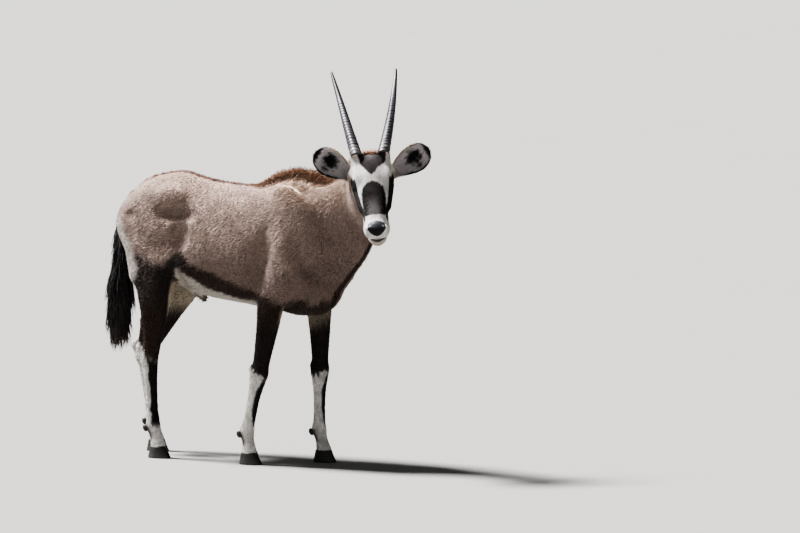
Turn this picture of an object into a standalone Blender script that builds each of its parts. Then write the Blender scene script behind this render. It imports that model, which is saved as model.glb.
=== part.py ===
"""A life-size young gemsbok, standing, with its head turned to its right.

The body is one smooth skin drawn through a field of named muscle and bone masses, then parted by thin
cuts into torso, neck, head and legs. Horns, ears, eyes, tail, claws and dewclaws are pieces of their own.
Metres. The animal faces +X, its left side is +Y, and the floor is Z = 0.
"""

import math
import random

import bmesh
import bpy
import numpy as np
import openvdb
from mathutils import Matrix, Vector

GAP = 0.0003  # between two nodes that touch
SIDES = {"left": 1, "right": -1}

# The trunk from rump to breast: place along X, height of the back, of the belly, half width, widest height
TRUNK = (
    (-0.490, 1.014, 0.800, 0.088, 0.920),
    (-0.410, 1.083, 0.745, 0.126, 0.920),
    (-0.320, 1.110, 0.700, 0.148, 0.900),
    (-0.220, 1.088, 0.655, 0.158, 0.870),
    (-0.100, 1.070, 0.624, 0.176, 0.840),
    (0.030, 1.062, 0.608, 0.180, 0.820),
    (0.140, 1.074, 0.594, 0.168, 0.800),
    (0.250, 1.096, 0.584, 0.145, 0.790),
    (0.335, 1.082, 0.606, 0.108, 0.800),
    (0.390, 1.010, 0.720, 0.062, 0.812),
)

# The neck from chest to poll: centre, half width, and how far the skin lies above and below it
NECK = (
    (0.260, 0.000, 0.880, 0.106, 0.185, 0.200),
    (0.360, -0.004, 0.930, 0.094, 0.152, 0.228),
    (0.450, -0.018, 0.985, 0.080, 0.118, 0.205),
    (0.530, -0.050, 1.050, 0.071, 0.098, 0.165),
    (0.592, -0.094, 1.112, 0.062, 0.080, 0.116),
)

# The head in its own frame, +X down the face to the nose, +Z out of the forehead, from between the horns:
# place along X, height of the face, of the jaw, half width, widest height
HEAD = (
    (-0.020, -0.096, -0.128, 0.042, -0.110),
    (0.002, -0.050, -0.142, 0.054, -0.088),
    (0.030, -0.016, -0.152, 0.062, -0.070),
    (0.070, 0.000, -0.158, 0.067, -0.060),
    (0.120, -0.002, -0.152, 0.068, -0.064),
    (0.165, -0.009, -0.138, 0.063, -0.070),
    (0.205, -0.016, -0.125, 0.055, -0.070),
    (0.245, -0.023, -0.116, 0.046, -0.070),
    (0.275, -0.029, -0.113, 0.041, -0.070),
    (0.305, -0.036, -0.114, 0.041, -0.074),
)
HEAD_AT = Vector((0.644, -0.150, 1.218))
HEAD_YAW = math.radians(-60)
HEAD_PITCH = math.radians(50)
HEAD_ROLL = math.radians(5.5)

# Where each leg's joints are, as X, distance from the middle plane, and height
FORE_JOINTS = {
    "right": ((0.330, 0.105, 0.800), (0.198, 0.125, 0.640), (0.136, 0.118, 0.352),
              (0.080, 0.112, 0.125), (0.086, 0.110, 0.045)),
    "left": ((0.360, 0.105, 0.800), (0.262, 0.118, 0.640), (0.270, 0.112, 0.352),
             (0.272, 0.106, 0.125), (0.290, 0.104, 0.045)),
}
HIND_JOINTS = {
    "right": ((-0.400, 0.080, 0.900), (-0.325, 0.122, 0.700), (-0.364, 0.108, 0.395),
              (-0.350, 0.102, 0.125), (-0.332, 0.100, 0.045)),
    "left": ((-0.410, 0.080, 0.900), (-0.342, 0.122, 0.690), (-0.522, 0.108, 0.382),
             (-0.482, 0.102, 0.125), (-0.464, 0.100, 0.045)),
}

# Sections down a leg: joint number and part of the way to the next, half width, and depth before and behind
FORE_SECTIONS = (
    (0.30, 0.050, 0.090, 0.095),
    (0.75, 0.050, 0.074, 0.082),
    (1.00, 0.045, 0.056, 0.058),
    (1.28, 0.038, 0.047, 0.046),
    (1.60, 0.032, 0.040, 0.037),
    (1.85, 0.029, 0.034, 0.032),
    (2.00, 0.031, 0.037, 0.034),
    (2.15, 0.027, 0.031, 0.033),
    (2.40, 0.021, 0.023, 0.027),
    (2.80, 0.020, 0.022, 0.026),
    (3.00, 0.025, 0.027, 0.033),
    (3.45, 0.022, 0.024, 0.025),
    (4.00, 0.029, 0.032, 0.028),
)
HIND_SECTIONS = (
    (0.00, 0.070, 0.120, 0.085),
    (0.50, 0.062, 0.118, 0.088),
    (1.00, 0.050, 0.080, 0.098),
    (1.38, 0.041, 0.063, 0.058),
    (1.62, 0.032, 0.053, 0.040),
    (1.82, 0.026, 0.045, 0.030),
    (2.00, 0.028, 0.038, 0.034),
    (2.20, 0.024, 0.030, 0.032),
    (2.45, 0.021, 0.024, 0.028),
    (2.80, 0.020, 0.022, 0.026),
    (3.00, 0.025, 0.027, 0.033),
    (3.45, 0.022, 0.024, 0.025),
    (4.00, 0.029, 0.032, 0.028),
)

# Where the body is parted: a point and the way towards what comes off
NECK_CUT = ((0.385, 0.000, 0.930), (0.885, 0.000, 0.466))
HEAD_CUT_LOCAL = ((-0.075, 0.000, -0.070), (0.528, 0.000, 0.849))  # in the head's frame
CORONET = 0.046  # height at which the claws take over from the pastern
CANNON_CUT = {"fore": 0.300, "hind": 0.335}  # heights just below knee and hock
# A leg meets the trunk on a slanting plane, from (distance from the middle, height) inside to outside
LEG_SLANT = {"fore": ((0.040, 0.575), (0.240, 0.735)), "hind": ((0.012, 0.670), (0.250, 0.930))}
# and between these places along X
LEG_REACH = {
    ("fore", "right"): (0.080, 0.300),
    ("fore", "left"): (0.150, 0.375),
    ("hind", "right"): (-0.800, -0.235),
    ("hind", "left"): (-0.800, -0.235),
}

# Claws: two to a foot, each from the coronet down to the sole
CLAW_TOP = ((-0.026, 0.0015), (0.025, 0.0015), (0.029, 0.010), (0.022, 0.023), (0.000, 0.0275),
            (-0.022, 0.021), (-0.028, 0.010))
CLAW_SOLE = ((-0.036, 0.0025), (0.046, 0.0060), (0.054, 0.011), (0.036, 0.026), (0.000, 0.0325),
             (-0.030, 0.025), (-0.038, 0.012))
DEWCLAW = (0.010, 0.007, 0.014)  # half sizes

# Standing hair: places at the skin along the withers and the nape, and how far the hair stands above them
CREST = ((0.045, 0.000, 1.058, 0.006), (0.085, 0.000, 1.064, 0.016), (0.138, 0.000, 1.076, 0.030),
         (0.191, 0.000, 1.090, 0.036), (0.252, 0.000, 1.097, 0.037), (0.306, 0.000, 1.092, 0.034),
         (0.345, 0.000, 1.082, 0.031), (0.410, -0.008, 1.082, 0.030), (0.470, -0.035, 1.110, 0.028),
         (0.520, -0.070, 1.140, 0.022))
CREST_CORE = 0.45  # height of the solid core, as a share of the hair's
CREST_STEP = 0.0150  # from one lock to the next, which stands on the other side of the spine
CREST_LEAN = (math.radians(28), math.radians(42), math.radians(50))  # towards the head, from root to tip
CREST_SPLAY = math.radians(8)
CREST_LOCK = (0.036, 0.0065)  # width and thickness
CREST_TAPER = (0.85, 1.00, 0.72, 0.15)  # share of the full width at even steps from root to tip
ROOT_DEPTH = 0.010

# Horns in the head's frame
HORN_ROOT = (-0.002, 0.0530, -0.004)
HORN_LENGTH = {"left": 0.430, "right": 0.444}
HORN_LEAN = math.radians(7)  # backwards, out of the plane of the face
HORN_SPREAD = {"left": 0.0735, "right": 0.0665}  # how much further out the tip is than the root
HORN_BOW = {"left": 0.007, "right": 0.000}
HORN_RADII = ((0.00, 0.0226), (0.12, 0.0203), (0.25, 0.0183), (0.50, 0.0140), (0.75, 0.0098), (0.93, 0.0064),
              (1.00, 0.0046))
HORN_RINGS = 20
HORN_SIDES = 9
RINGED_PART = 0.68
RING_DEPTH = 0.0014

# Eyes in the head's frame: place, size, and which way the opening of the lids faces
EYE = (0.101, 0.0570, -0.048)
EYE_RADIUS = 0.0185
EYE_LOOKS = (0.22, 0.93, 0.29)

# Ears in the head's frame
EAR_ROOT = (0.046, 0.070, -0.083)
EAR_RISE = {"left": math.radians(27), "right": math.radians(37)}
EAR_LENGTH = 0.172
EAR_WIDTHS = ((0.00, 0.040), (0.12, 0.048), (0.30, 0.074), (0.50, 0.097), (0.68, 0.103), (0.84, 0.085),
              (0.94, 0.056), (1.00, 0.014))
EAR_WRAP = ((0.0, 118), (0.2, 88), (0.45, 56), (0.75, 42), (1.0, 30))  # half angle that the cup bends through
EAR_WALL = 0.005

# Tail: the dock, as centre x, y, z, half width, depth before and behind
TAIL = (
    (-0.535, 0.000, 0.938, 0.024, 0.022, 0.022),
    (-0.560, 0.000, 0.915, 0.021, 0.019, 0.019),
    (-0.572, 0.000, 0.860, 0.014, 0.014, 0.014),
    (-0.570, 0.000, 0.780, 0.016, 0.015, 0.015),
    (-0.565, 0.000, 0.700, 0.020, 0.018, 0.018),
    (-0.562, 0.000, 0.630, 0.018, 0.016, 0.016),
)
# The hair of the tail: how far out it hangs at each height
TUFT = ((0.425, 0.016), (0.497, 0.040), (0.574, 0.050), (0.632, 0.049), (0.690, 0.041), (0.767, 0.027),
        (0.864, 0.015))
TUFT_TIERS = ((0.845, 0.610, 4), (0.775, 0.510, 5), (0.700, 0.428, 5))  # height of roots and tips, and locks
TUFT_LOCK = (0.047, 0.0080)
TUFT_TAPER = (0.36, 0.86, 0.90, 0.12)
TUFT_UNDER = 0.0095  # how much closer in a lock hangs for each tier that lies over it
TUFT_RAGGED = 0.030

TRIANGLES = {"torso": 2550, "neck": 1200, "head": 2900, "tail": 200, "fore_upper": 420, "fore_cannon": 400,
             "hind_upper": 700, "hind_cannon": 420}

COLOURS = {
    "coat": ((0.33, 0.25, 0.20), 0.85),
    "leg": ((0.045, 0.030, 0.022), 0.85),
    "white": ((0.62, 0.58, 0.52), 0.85),
    "hair": ((0.110, 0.050, 0.028), 0.75),
    "tail": ((0.012, 0.010, 0.010), 0.60),
    "horn": ((0.085, 0.085, 0.095), 0.55),
    "claw": ((0.030, 0.026, 0.024), 0.45),
    "eye": ((0.010, 0.006, 0.004), 0.08),
}


def curve_through(rows, steps):
    """Smooth values through the rows of a table, by Catmull-Rom, with `steps` to each gap."""
    rows = np.array(rows, float)
    ends = np.vstack([2 * rows[0] - rows[1], rows, 2 * rows[-1] - rows[-2]])
    out = []
    for i in range(len(rows) - 1):
        a, b, c, d = ends[i : i + 4]
        for t in np.arange(steps) / steps:
            square, cube = 2 * a - 5 * b + 4 * c - d, 3 * b - a - 3 * c + d
            out.append(0.5 * (2 * b + (c - a) * t + square * t**2 + cube * t**3))
    out.append(rows[-1])
    return np.array(out)


def unit(v):
    return v / np.linalg.norm(v, axis=-1, keepdims=True)


class Sweep:
    """An oval section carried along a smooth line. A row is centre x, y, z, half width, and the depths
    towards `hint` and away from it."""

    def __init__(self, rows, hint, caps=(0.03, 0.03), powers=(2.0, 2.0), steps=4):
        table = curve_through(rows, steps)
        self.centre, self.side, self.fore, self.aft = table[:, :3], table[:, 3], table[:, 4], table[:, 5]
        self.along = unit(np.gradient(self.centre, axis=0))
        self.across = unit(np.cross(np.array(hint, float), self.along))
        self.up = np.cross(self.along, self.across)
        self.caps, self.powers = caps, powers

    def box(self):
        reach = np.maximum(np.maximum(self.side, self.fore), self.aft)[:, None] + max(self.caps)
        return (self.centre - reach).min(0), (self.centre + reach).max(0)

    def distance(self, points):
        nearest = np.full(len(points), np.inf)
        place = np.zeros(len(points))
        last = len(self.centre) - 2
        for i in range(last + 1):
            start, leg = self.centre[i], self.centre[i + 1] - self.centre[i]
            t = np.clip((points - start) @ leg / (leg @ leg), 0, 1)
            away = ((points - start - t[:, None] * leg) ** 2).sum(1)
            closer = away < nearest
            nearest[closer] = away[closer]
            place[closer] = i + t[closer]
        i = np.minimum(place.astype(int), last)
        t = place - i

        def at(values):
            w = t if values.ndim == 1 else t[:, None]
            return values[i] * (1 - w) + values[i + 1] * w

        offset = points - at(self.centre)
        across = (offset * at(self.across)).sum(1)
        up = (offset * at(self.up)).sum(1)
        over = (offset * at(self.along)).sum(1) * ((place == 0) | (place == last + 1))
        depth = np.where(up > 0, at(self.fore), at(self.aft))
        power = np.where(up > 0, *self.powers)
        cap = np.where(over > 0, self.caps[1], self.caps[0])
        ratio = (np.abs(across / at(self.side)) ** power + np.abs(up / depth) ** power
                 + np.abs(over / cap) ** power) ** (1 / power)
        length = np.sqrt(across**2 + up**2 + over**2)
        return length * (1 - 1 / np.maximum(ratio, 1e-6))


class Lump:
    """An ellipsoid: centre, half sizes, and the turn of its axes in degrees about X, Y and Z."""

    def __init__(self, centre, sizes, turn=(0, 0, 0)):
        self.centre, self.sizes = np.array(centre, float), np.array(sizes, float)
        turns = [Matrix.Rotation(math.radians(a), 3, axis) for a, axis in zip(turn, "XYZ")]
        self.axes = np.array(turns[2] @ turns[1] @ turns[0])

    def box(self):
        reach = self.sizes.max()
        return self.centre - reach, self.centre + reach

    def distance(self, points):
        offset = (points - self.centre) @ self.axes
        ratio = np.sqrt(((offset / self.sizes) ** 2).sum(1))
        return np.sqrt((offset**2).sum(1)) * (1 - 1 / np.maximum(ratio, 1e-6))


class Rod:
    """A round bar between two points, with a radius at each."""

    def __init__(self, start, end, radius, end_radius=None):
        self.start, self.end = np.array(start, float), np.array(end, float)
        self.radii = radius, radius if end_radius is None else end_radius

    def box(self):
        reach = max(self.radii)
        return np.minimum(self.start, self.end) - reach, np.maximum(self.start, self.end) + reach

    def distance(self, points):
        leg = self.end - self.start
        t = np.clip((points - self.start) @ leg / (leg @ leg), 0, 1)
        radius = self.radii[0] * (1 - t) + self.radii[1] * t
        return np.sqrt(((points - self.start - t[:, None] * leg) ** 2).sum(1)) - radius


def field_value(masses, points):
    """Distance to the skin, below zero inside. A mass is (shape, blend, frame); a blend below zero cuts."""
    value = np.full(len(points), 1.0)
    for shape, blend, frame in masses:
        local = points if frame is None else (points - frame[1]) @ frame[0]
        low, high = shape.box()
        reach = abs(blend) + 0.03
        near = ((local > low - reach) & (local < high + reach)).all(1)
        if not near.any():
            continue
        there = shape.distance(local[near])
        here = value[near]
        if blend < 0:
            there = -there
            mix = np.maximum(-blend - np.abs(here - there), 0) ** 2 / (-4 * blend)
            value[near] = np.maximum(here, there) + mix
        else:
            mix = np.maximum(blend - np.abs(here - there), 0) ** 2 / (4 * blend)
            value[near] = np.minimum(here, there) - mix
    return value


def both_sides(make):
    """The masses that `make(side)` gives for the left and the right."""
    return [mass for side in SIDES.values() for mass in make(side)]


def trunk_masses():
    barrel = [(x, 0, wide, half, back - wide, wide - belly) for x, back, belly, half, wide in TRUNK]

    def pair(s):
        return [
            # hip bone, gluteal mass
            (Lump((-0.265, s * 0.108, 1.012), (0.060, 0.032, 0.032)), 0.05, None),
            (Lump((-0.385, s * 0.072, 0.935), (0.140, 0.078, 0.095), (0, -34, 0)), 0.05, None),
            # pin bone and the muscle that runs down behind the thigh
            (Rod((-0.472, s * 0.052, 0.905), (-0.396, s * 0.098, 0.720), 0.044, 0.050), 0.05, None),
            # shoulder blade, point of the shoulder, and the triceps before the elbow
            (Lump((0.292, s * 0.092, 0.930), (0.078, 0.038, 0.165), (0, -30, 0)), 0.04, None),
            (Lump((0.316, s * 0.084, 0.805), (0.040, 0.032, 0.056)), 0.035, None),
            (Lump((0.240, s * 0.120, 0.745), (0.088, 0.050, 0.098)), 0.035, None),
            (Lump((0.238, s * 0.128, 0.850), (0.056, 0.034, 0.080), (0, -20, 0)), 0.030, None),
            # fold of skin from the belly to the stifle
            (Rod((-0.150, s * 0.124, 0.738), (-0.245, s * 0.120, 0.778), 0.028, 0.036), 0.05, None),
            # muscle before the thigh, and the stifle
            (Lump((-0.322, s * 0.116, 0.862), (0.076, 0.050, 0.098)), 0.035, None),
            (Lump((-0.275, s * 0.136, 0.775), (0.045, 0.030, 0.055)), 0.03, None),
            # hollow of the flank below the loin and behind the ribs
            (Lump((-0.215, s * 0.178, 0.962), (0.112, 0.058, 0.055)), -0.012, None),
            (Lump((-0.197, s * 0.190, 0.888), (0.054, 0.056, 0.098)), -0.012, None),
            # grooves behind the thigh and behind the shoulder
            (Rod((-0.428, s * 0.154, 0.930), (-0.402, s * 0.170, 0.800), 0.030), -0.020, None),
            (Rod((0.195, s * 0.189, 0.900), (0.145, s * 0.182, 0.700), 0.036), -0.040, None),
        ]

    withers = (Lump((0.235, 0, 1.030), (0.150, 0.036, 0.070)), 0.05, None)
    brisket = (Lump((0.285, 0, 0.636), (0.100, 0.056, 0.054), (0, -10, 0)), 0.04, None)
    breast = (Lump((0.385, 0, 0.695), (0.048, 0.066, 0.100), (0, 35, 0)), 0.07, None)
    tail_head = (Rod((-0.480, 0, 0.972), (-0.540, 0, 0.935), 0.036, 0.026), 0.04, None)
    sheath = (Rod((-0.225, 0, 0.655), (-0.180, 0, 0.612), 0.022, 0.010), 0.03, None)
    return [(Sweep(barrel, (0, 0, 1), caps=(0.035, 0.055), powers=(1.9, 2.15)), 0.02, None),
            withers, brisket, breast, tail_head, sheath, *both_sides(pair)]


def neck_masses():
    neck = Sweep(NECK, (0, 0, 1), caps=(0.14, 0.05), powers=(1.9, 2.1))
    throat = Rod((0.585, -0.070, 1.045), (0.640, -0.135, 1.080), 0.050, 0.045)
    return [(neck, 0.060, None), (throat, 0.04, None)]


def leg_table(joints, sections, side):
    joints = np.array(joints, float) * (1, side, 1)
    rows = []
    for place, half, fore, aft in sections:
        i = min(int(place), len(joints) - 2)
        centre = joints[i] + (place - i) * (joints[i + 1] - joints[i])
        rows.append((*centre, half, fore, aft))
    return rows


def leg_masses():
    masses = []
    for name, side in SIDES.items():
        fore = leg_table(FORE_JOINTS[name], FORE_SECTIONS, side)
        hind = leg_table(HIND_JOINTS[name], HIND_SECTIONS, side)
        masses.append((Sweep(fore, (1, 0, 0), caps=(0.03, 0.02), powers=(2.2, 2.1)), 0.035, None))
        masses.append((Sweep(hind, (1, 0, 0), caps=(0.05, 0.02), powers=(2.2, 2.1)), 0.040, None))
        # point of the hock, with the tendon that runs down to it
        stifle, hock = (np.array(HIND_JOINTS[name][i]) * (1, side, 1) for i in (1, 2))
        point = hock + (-0.040, 0, 0.030)
        masses.append((Rod(hock + 0.45 * (stifle - hock) + (-0.040, 0, 0), point, 0.011, 0.015), 0.022, None))
        masses.append((Rod(point, hock + (-0.018, 0, -0.020), 0.015, 0.016), 0.020, None))
        # bone behind the knee
        knee = np.array(FORE_JOINTS[name][2]) * (1, side, 1)
        masses.append((Rod(knee + (-0.022, 0, 0.016), knee + (-0.020, 0, -0.012), 0.018, 0.012), 0.020, None))
    return masses


def head_frame():
    """Rotation and place that carry the head's own frame into the animal's."""
    facing = Vector((math.cos(HEAD_YAW), math.sin(HEAD_YAW), 0))
    turn = (Matrix.Rotation(HEAD_ROLL, 3, facing) @ Matrix.Rotation(HEAD_YAW, 3, "Z")
            @ Matrix.Rotation(HEAD_PITCH, 3, "Y"))
    return np.array(turn), np.array(HEAD_AT)


def head_masses():
    frame = head_frame()
    skull = [(x, 0, wide, half, face - wide, wide - jaw) for x, face, jaw, half, wide in HEAD]
    eye, looks = np.array(EYE), unit(np.array(EYE_LOOKS))

    def pair(s):
        flip = np.array((1, s, 1))
        return [
            (Lump((0.085, s * 0.042, -0.102), (0.080, 0.028, 0.054)), 0.030, frame),
            (Lump((0.092, s * 0.054, -0.034), (0.042, 0.022, 0.026)), 0.022, frame),
            (Rod((0.112, s * 0.060, -0.068), (0.200, s * 0.048, -0.074), 0.013, 0.010), 0.025, frame),
            # foot of the horn
            (Rod((0.030, s * 0.044, -0.040), (0.004, s * 0.052, -0.012), 0.032, 0.024), 0.020, frame),
            # root of the ear
            (Rod((0.030, s * 0.045, -0.090), (0.038, s * 0.070, -0.083), 0.034, 0.026), 0.022, frame),
            # lids, as a low mound round the eye
            (Lump((eye + 0.004 * looks) * flip, (0.027, 0.0205, 0.0215), (0, 14, s * -14)), 0.010, frame),
            # upper lip, and the corner of the mouth
            (Lump((0.292, s * 0.023, -0.082), (0.044, 0.027, 0.028)), 0.014, frame),
            (Lump((0.245, s * 0.036, -0.102), (0.030, 0.012, 0.016)), 0.015, frame),
        ]

    def cuts(s):
        flip = np.array((1, s, 1))
        return [
            # opening of the lids, nostril, and the line of the mouth
            (Lump((eye + 0.021 * looks) * flip, (0.0165, 0.010, 0.0105), (0, 14, s * -14)), -0.004, frame),
            (Rod((0.340, s * 0.013, -0.074), (0.332, s * 0.030, -0.058), 0.0060, 0.0050), -0.006, frame),
            (Rod((0.336, s * 0.010, -0.108), (0.310, s * 0.040, -0.110), 0.0030), -0.005, frame),
            (Rod((0.310, s * 0.040, -0.110), (0.240, s * 0.054, -0.112), 0.0030, 0.0025), -0.005, frame),
        ]

    chin = (Lump((0.289, 0, -0.126), (0.050, 0.038, 0.024), (0, 5, 0)), 0.014, frame)
    nose = (Lump((0.306, 0, -0.062), (0.030, 0.034, 0.032)), 0.014, frame)
    forehead = (Lump((0.060, 0, -0.030), (0.070, 0.050, 0.036)), 0.030, frame)
    return [(Sweep(skull, (0, 0, 1), caps=(0.030, 0.028), powers=(2.5, 2.1)), 0.040, frame),
            forehead, *both_sides(pair), chin, nose, *both_sides(cuts)]


def crest_masses():
    """The core of the standing hair over the withers and the nape."""
    rows = [(x, y, z, 0.013, up * CREST_CORE, 0.02) for x, y, z, up in CREST]
    return [(Sweep(rows, (0, 0, 1), caps=(0.03, 0.02)), 0.012, None)]


def field_mesh(masses, low, high, cell):
    """The surface of the masses inside a box. The field is worked out coarsely, then again near the skin."""
    low, wide = np.array(low, float), 4
    blocks = np.ceil((np.array(high) - low) / (cell * wide)).astype(int) + 1
    centres = np.indices(blocks).reshape(3, -1).T * wide + wide / 2
    coarse = field_value(masses, low + centres * cell).reshape(blocks)
    fine = coarse.repeat(wide, 0).repeat(wide, 1).repeat(wide, 2).astype(np.float32)
    near = np.argwhere(np.abs(fine) < 1.6 * wide * cell)
    fine[tuple(near.T)] = field_value(masses, low + near * cell)
    grid = openvdb.FloatGrid(1.0)
    grid.copyFromArray(fine)
    corners, faces = grid.convertToQuads(isovalue=0.0)
    mesh = bpy.data.meshes.new("skin")
    mesh.from_pydata((low + corners * cell).tolist(), [], faces[:, ::-1].tolist())
    return mesh


def material(kind):
    found = bpy.data.materials.get(kind)
    if found:
        return found
    made = bpy.data.materials.new(kind)
    made.use_nodes = True
    shader = made.node_tree.nodes["Principled BSDF"]
    colour, roughness = COLOURS[kind]
    shader.inputs["Base Color"].default_value = (*colour, 1)
    shader.inputs["Roughness"].default_value = roughness
    shader.inputs["Metallic"].default_value = 0
    return made


def add_object(name, mesh, kind):
    obj = bpy.data.objects.new(name, mesh)
    bpy.context.scene.collection.objects.link(obj)
    mesh.name = name
    mesh.materials.clear()
    mesh.materials.append(material(kind))
    return obj


def drop(obj):
    bpy.data.objects.remove(obj)


def apply_modifiers(obj):
    graph = bpy.context.evaluated_depsgraph_get()
    mesh = bpy.data.meshes.new_from_object(obj.evaluated_get(graph))
    obj.modifiers.clear()
    old, obj.data = obj.data, mesh
    bpy.data.meshes.remove(old)
    mesh.name = obj.name


def keep_largest(obj):
    """Keeps the largest closed surface, which drops loose scraps and fills sealed hollows."""
    bm = bmesh.new()
    bm.from_mesh(obj.data)
    seen, groups = set(), []
    for first in bm.verts:
        if first in seen:
            continue
        group, front = [first], [first]
        seen.add(first)
        while front:
            for edge in front.pop().link_edges:
                for vert in edge.verts:
                    if vert not in seen:
                        seen.add(vert)
                        group.append(vert)
                        front.append(vert)
        groups.append(group)
    groups.sort(key=len)
    bmesh.ops.delete(bm, geom=[v for group in groups[:-1] for v in group], context="VERTS")
    bm.to_mesh(obj.data)
    bm.free()


def thin_out(obj, triangles):
    modifier = obj.modifiers.new("Decimate", "DECIMATE")
    obj.data.calc_loop_triangles()
    modifier.ratio = min(1.0, triangles / len(obj.data.loop_triangles))
    apply_modifiers(obj)


def slice_off(obj, point, towards):
    """Takes away what lies beyond a plane, and closes the cut with a flat face."""
    bm = bmesh.new()
    bm.from_mesh(obj.data)
    cut = bmesh.ops.bisect_plane(bm, geom=[*bm.verts, *bm.edges, *bm.faces], dist=1e-6, plane_co=point,
                                 plane_no=towards, clear_outer=True)
    rim = [e for e in cut["geom_cut"] if isinstance(e, bmesh.types.BMEdge) and e.is_boundary]
    if rim:
        bmesh.ops.triangle_fill(bm, edges=rim, normal=towards, use_beauty=True)
        bmesh.ops.recalc_face_normals(bm, faces=bm.faces)
    bm.to_mesh(obj.data)
    bm.free()


def boolean(obj, cutters, operation, solver="EXACT"):
    group = bpy.data.collections.new("cutters")
    for cutter in cutters:
        group.objects.link(cutter)
    modifier = obj.modifiers.new("Boolean", "BOOLEAN")
    modifier.operand_type = "COLLECTION"
    modifier.collection = group
    modifier.operation = operation
    modifier.solver = solver
    apply_modifiers(obj)
    for cutter in cutters:
        drop(cutter)
    bpy.data.collections.remove(group)
    keep_largest(obj)


def grown(obj, by):
    """A copy of an object, swollen by a small distance."""
    mesh = obj.data.copy()
    for vert, normal in zip(mesh.vertices, [v.normal.copy() for v in mesh.vertices]):
        vert.co += normal * by
    return add_object("grown", mesh, "coat")


def seat(piece, carrier, gap=GAP):
    """Cuts a piece clear of what it grows from, so that the two meet face to face."""
    boolean(piece, [grown(carrier, gap)], "DIFFERENCE")


def loft(name, rings, kind):
    """A closed skin over a row of rings with the same number of points."""
    bm = bmesh.new()
    rows = [[bm.verts.new(point) for point in ring] for ring in rings]
    for lower, upper in zip(rows, rows[1:]):
        for i in range(len(lower)):
            j = (i + 1) % len(lower)
            bm.faces.new((lower[i], lower[j], upper[j], upper[i]))
    bm.faces.new(rows[0][::-1])
    bm.faces.new(rows[-1])
    bmesh.ops.triangulate(bm, faces=bm.faces)
    bmesh.ops.recalc_face_normals(bm, faces=bm.faces)
    mesh = bpy.data.meshes.new(name)
    bm.to_mesh(mesh)
    bm.free()
    return add_object(name, mesh, kind)


def along(table, t):
    """Reads a table of (place, value) at t, with straight runs between the rows."""
    places, values = zip(*table)
    return float(np.interp(t, places, values))


def lock(path, face, size, taper, kind):
    """A flat lock along a path. Its flat side looks along `face`, and `taper` gives shares of its width."""
    path = np.array(path)
    way = unit(np.gradient(path, axis=0))
    across = unit(np.cross(way, face))
    out = np.cross(across, way)
    width, thickness = size
    rings = []
    for i, share in enumerate(taper):
        side = across[i] * width * share / 2
        front = out[i] * thickness * (0.3 + 0.7 * share) / 2
        rings.append([path[i] + side, path[i] + front, path[i] - side, path[i] - front])
    return loft("lock", rings, kind)


def crest_locks(first_x, last_x):
    """Locks along the withers and the nape, in turn left and right of the spine, leaning to the head."""
    draw = random.Random(5)
    line = curve_through(CREST, 8)
    run = np.append(0, np.cumsum(np.linalg.norm(np.diff(line[:, :3], axis=0), axis=1)))

    def at(place):
        return np.array([np.interp(place, run, line[:, k]) for k in range(4)])

    locks = []
    for i, place in enumerate(np.arange(0.012, run[-1], CREST_STEP)):
        side = 1 if i % 2 else -1
        place += draw.uniform(-0.002, 0.002)
        stretch, tilt = draw.uniform(0.90, 1.06), draw.uniform(-0.08, 0.08)
        x, y, z, height = at(place)
        if not first_x < x < last_x:
            continue
        ahead = unit((at(place + 0.01) - at(place - 0.01))[:3])
        left = unit(np.cross((0, 0, 1), ahead))
        upward = np.cross(ahead, left) + side * math.tan(CREST_SPLAY) * left
        path = [np.array((x, y, z)) + 0.004 * side * left - ROOT_DEPTH * upward]
        step = (height * stretch + ROOT_DEPTH) / sum(math.cos(lean) for lean in CREST_LEAN)
        for lean in CREST_LEAN:
            path.append(path[-1] + (math.cos(lean + tilt) * upward + math.sin(lean + tilt) * ahead) * step)
        width, thickness = CREST_LOCK
        size = width * (0.5 + 0.5 * min(height / 0.03, 1)), thickness
        locks.append(lock(path, side * left, size, CREST_TAPER, "hair"))
    return locks


def tuft_locks():
    """The hair of the tail, in tiers that hang over one another from the end of the dock."""
    draw = random.Random(9)
    heights, reaches = zip(*TUFT)
    centre_heights, centre_places = zip(*[(z, x) for x, _, z, *_ in TAIL[::-1]])
    locks = []
    for tier, (top, bottom, count) in enumerate(TUFT_TIERS):
        for i in range(count):
            angle = math.tau * (i + 0.5 * (tier % 2) + draw.uniform(-0.08, 0.08)) / count
            tip = bottom + draw.uniform(-0.2, 1) * TUFT_RAGGED
            outward = np.array((math.cos(angle), math.sin(angle), 0))
            path = []
            for step in range(len(TUFT_TAPER)):
                t = step / (len(TUFT_TAPER) - 1)
                z = top + (tip - top) * t
                over = sum(1 for _, end, _ in TUFT_TIERS[:tier] if z > end - 0.01)
                reach = np.interp(z, heights, reaches) - TUFT_UNDER * over - TUFT_LOCK[1] / 2
                reach = 0.006 if step == 0 else max(reach, 0.012)
                path.append(np.array((np.interp(z, centre_heights, centre_places), 0, z)) + reach * outward)
            locks.append(lock(path, outward, TUFT_LOCK, TUFT_TAPER, "tail"))
    return locks


def body_masses():
    return [*trunk_masses(), *neck_masses(), *crest_masses(), *leg_masses(), *head_masses()]


def head_cut():
    turn, place = head_frame()
    point, towards = (np.array(v) for v in HEAD_CUT_LOCAL)
    return turn @ point + place, turn @ towards


def behind(cut, towards_sign):
    """Point and direction of a cut, moved back by half the gap on the side that is kept."""
    point, towards = (np.array(v, float) for v in cut)
    towards = towards / np.linalg.norm(towards) * towards_sign
    return Vector(point - towards * GAP / 2), Vector(towards)


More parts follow.
